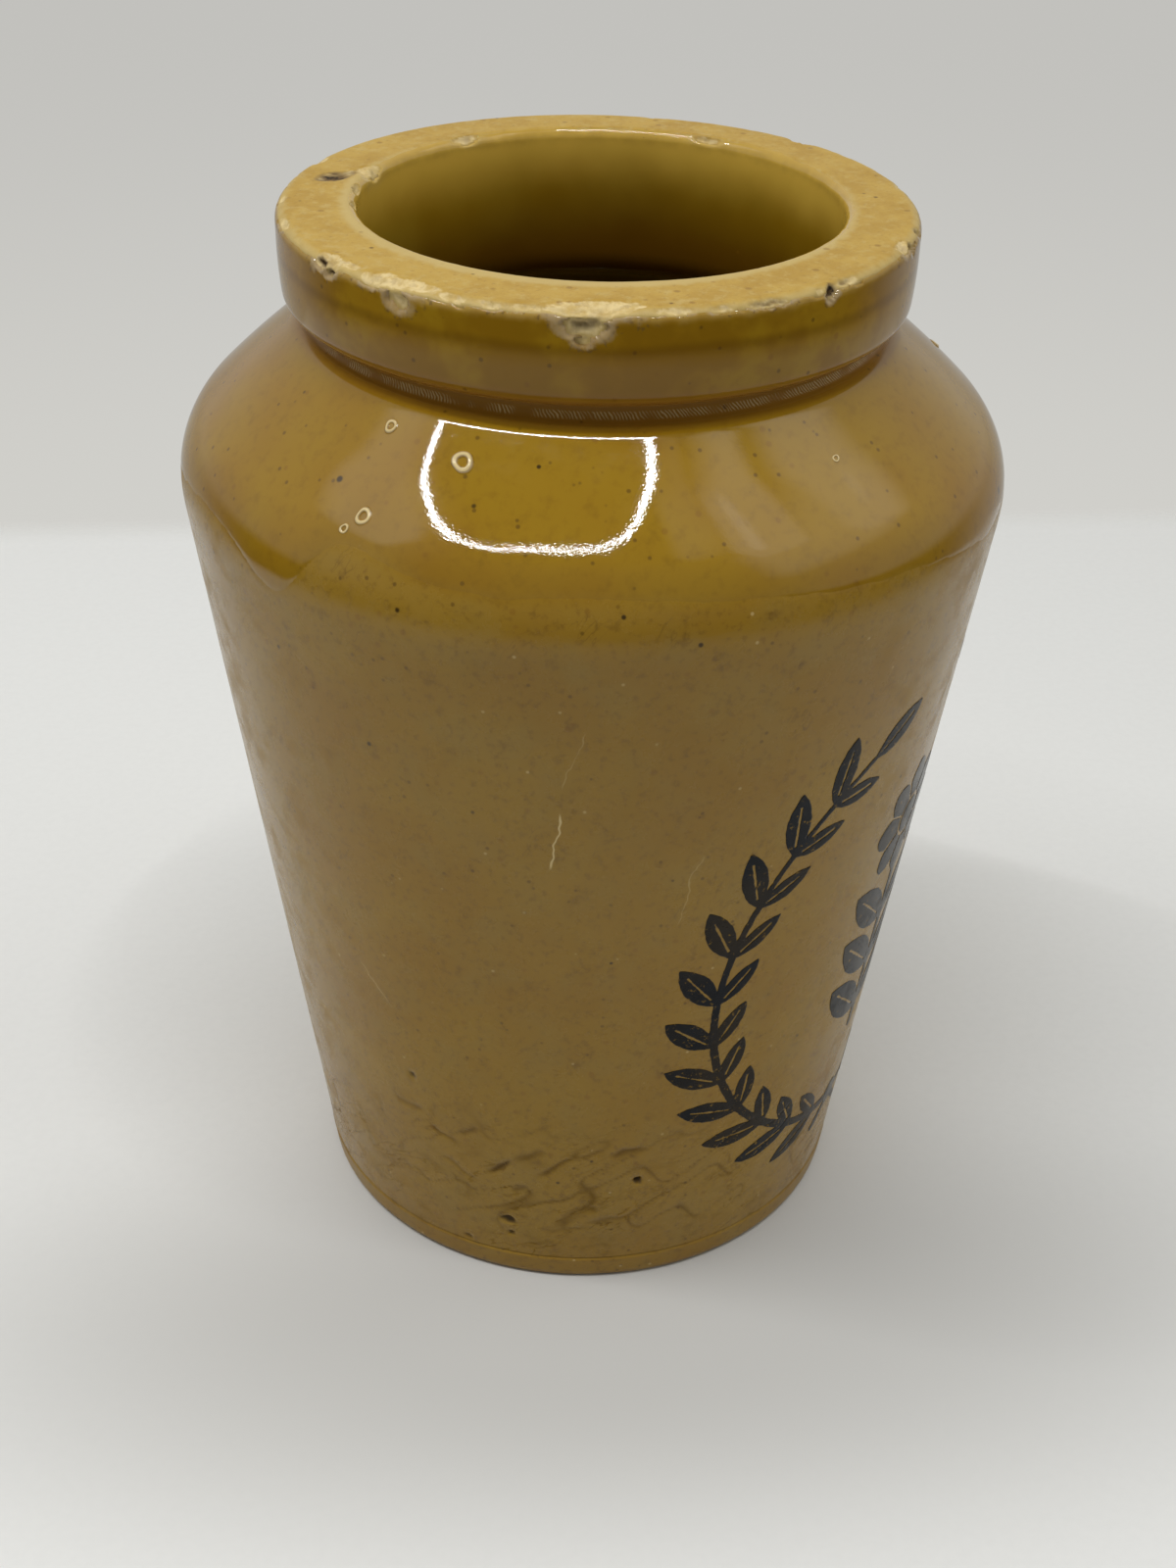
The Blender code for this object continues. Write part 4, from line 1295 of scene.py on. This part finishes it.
def floor_material():
    shader = Shader("pale sheet")
    clouds = shader.clouds
    sheet = shader.mix(clouds(1.2, 61, 4, 0.6).ramp(0.3, 0.75), FLOOR_COLOUR, FLOOR_FIBRE)
    middle = shader.vector("SUBTRACT", shader.place, FLOOR_SHADOW_PLACE)
    middle = shader.vector("MULTIPLY", middle, [1 / size for size in FLOOR_SHADOW_SIZE] + [0.0])
    from_middle = shader.vector("LENGTH", middle, output="Value")
    # A soft shadow painted on the sheet: it is greyer towards the middle of a patch in front of the
    # pot
    colour = shader.mix(from_middle.ramp(1.0, 0.2), sheet, FLOOR_PAINTED_SHADOW)
    shown = shader.back.ramp(FLOOR_BEHIND, FLOOR_BEHIND - FLOOR_FADE)
    shown = shown * shader.radius().ramp(FLOOR_SIDES, FLOOR_SIDES - FLOOR_FRONT_FADE)
    relief = shader.bump(clouds(0.6, 62, 3), 0.006)
    return shader.finish(colour, 0.85, 1.3, relief, shown=shown)


def make_floor():
    x, near, far = FLOOR_SIDES, -FLOOR_FRONT, FLOOR_BEHIND
    corners = np.array([(-x, near, 0), (x, near, 0), (x, far, 0), (-x, far, 0)])
    floor = new_piece("floor", corners, [(0, 1, 2, 3)], {})
    askew = Matrix.Rotation(math.radians(FLOOR_TURN), 4, "Z")
    floor.matrix_world = TURN @ askew @ Matrix.Translation((0, 0, -FLOOR_DROP * MM))
    floor.data.materials.append(floor_material())


# A loop of bright strips above the pot, in the frame of the photograph: +Y away from the camera, +X
# to its right. Each corner has the width of the strip that follows it.
RING_HEIGHT = 700.0
RING = (
    (-398, -36, 9.9), (-412, -92, 9.9), (-403, -137, 9.3), (-386, -188, 6.8), (-349, -234, 4.6),
    (-293, -272, 4.2), (-237, -296, 3.8), (-110, -313, 3.8), (-34, -319, 3.8), (28, -313, 4.3),
    (79, -289, 6.8), (107, -253, 9.3), (123, -212, 10.5), (138, -181, 10.5), (150, -154, 13),
    (87, -163, 13), (29, -168, 13), (-29, -168, 13), (-87, -162, 13), (-145, -150, 13),
    (-203, -131, 13), (-261, -106, 13), (-320, -76, 13), (-375, -42, 11),
)
RING_LIGHT = 80.0  # brightness of the strips


def make_lamps():
    """The strips, each a rectangular lamp that faces straight down."""
    for number, (start, end) in enumerate(zip(RING, RING[1:] + RING[:1])):
        first = Vector((start[0], start[1], RING_HEIGHT))
        last = Vector((end[0], end[1], RING_HEIGHT))
        data = bpy.data.lights.new(f"strip_{number}", "AREA")
        data.shape = "RECTANGLE"
        data.size = (last - first).length * MM
        data.size_y = start[2] * MM
        data.energy = RING_LIGHT * math.pi * data.size * data.size_y
        back = Vector((0, 0, 1))
        side = (last - first).normalized()
        turned = Matrix((side, back.cross(side), back)).transposed().to_4x4()
        turned.translation = (first + last) / 2 * MM
        show(f"strip_{number}", data, turned)


# Brightness of the room round the pot
WALLS_LIGHT = 0.58
FRONT_LIGHT = 0.26
CEILING_LIGHT = 0.20
LOW_FRONT_LIGHT = 0.06
LOW_BACK_LIGHT = 0.42
# Soft boxes: bearing from and to, elevation from and to, softness, brightness. The camera is at 0.
SOFT_BOXES = (
    (-104, -66, 38, 57, 5, 1.45), (36, 60, 56, 72, 6, 0.75), (57, 83, 44, 66, 4, 1.5),
    (62, 70, 50, 64, 4, 2.4), (88, 113, 28, 60, 8, 1.5), (98, 108, 34, 46, 6, 1.9),
    (52, 104, 24, 54, 9, 1.12),
)
BACKDROP_LOW = linear(209, 208, 203)
BACKDROP_HIGH = linear(194, 193, 189)


def make_world():
    """Pale walls round the pot, with a dark ceiling and a dim side behind the camera."""
    world = bpy.data.worlds.new("studio")
    world.use_nodes = True
    nodes = Nodes(world.node_tree)
    way, to_seen = nodes.out("Generated", "TexCoord"), -math.radians(SEEN_BEARING)
    turned = nodes.out(0, "VectorRotate", Vector=way, Angle=to_seen, rotation_type="Z_AXIS")
    right, back, up = nodes.parts(turned)
    rise = nodes.maths("ARCSINE", up) * math.degrees(1)
    turn = nodes.maths("ARCTAN2", right, back * -1.0) * math.degrees(1)
    upper = abs(turn).ramp(42.0, 74.0, FRONT_LIGHT, WALLS_LIGHT)
    upper = upper * rise.ramp(64.0, 50.0) + rise.ramp(50.0, 64.0) * CEILING_LIGHT
    lower = abs(turn).ramp(96.0, 132.0, LOW_FRONT_LIGHT, LOW_BACK_LIGHT)
    room = lower * rise.ramp(3.0, -6.0) + upper * rise.ramp(-6.0, 3.0)
    for left, right, low, high, soft, brightness in SOFT_BOXES:
        box = turn.between(left, right, soft) * rise.between(low, high, soft) * brightness
        room = nodes.maths("MAXIMUM", room, box)
    path = nodes.add("LightPath").outputs
    rays = [Value(nodes, path[f"Is {ray} Ray"]) for ray in ("Camera", "Glossy", "Transmission")]
    seen = nodes.maths("MAXIMUM", nodes.maths("MAXIMUM", rays[0], rays[1]), rays[2])
    backdrop = nodes.mix(rise.ramp(-26.0, -12.0), BACKDROP_LOW, BACKDROP_HIGH)
    pale = nodes.mix(seen, BACKDROP_HIGH, backdrop)
    lit = (room * (1 / BACKDROP_HIGH[1]) - 1.0) * (1.0 - rays[0]) + 1.0
    colour = nodes.vector("MULTIPLY", pale, nodes.out(0, "CombineXYZ", lit, lit, lit))
    nodes.add("OutputWorld", nodes.out(0, "Background", colour, 1.0))
    bpy.context.scene.world = world


# ---- Everything together ----


def dress(piece, material, slot, *nodes):
    """Gives a piece its material and its body, and hides the CAD nodes that it stands for. The slot
    is not used.
    """
    piece.data.materials.append(material)
    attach(piece, "root")
    if nodes:
        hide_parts(*nodes)


def main():
    make_camera()
    dress(make_clay(), clay_material(), "fired_clay", "stoneware_body")
    honey = honey_material()
    dress(make_honey(), honey, "honey_glaze", "honey_glaze")
    dress(make_bubbles(), honey, "honey_glaze")
    dress(make_wall(), wall_material(), "clear_glaze", "clear_wall_glaze")
    dress(make_liner(), liner_material(), "inner_glaze", "inner_glaze")
    ink = ink_material()
    wreath_room = (MARK_HALF_WIDTH + 1, MARK_HALF_HEIGHT + 1)
    wreath = printed_film("wreath_print", wreath_shapes, *wreath_room)
    dress(wreath, ink, "ink", "printed_wreath")
    sprig = printed_film("sprig_print", sprig_shapes, SPRIG_HALF_WIDTH, SPRIG_HEIGHT / 2 + 1)
    dress(sprig, ink, "ink", "printed_sprig")
    make_floor()
    make_lamps()
    make_world()
    bpy.context.scene.view_settings.view_transform = "Standard"


main()
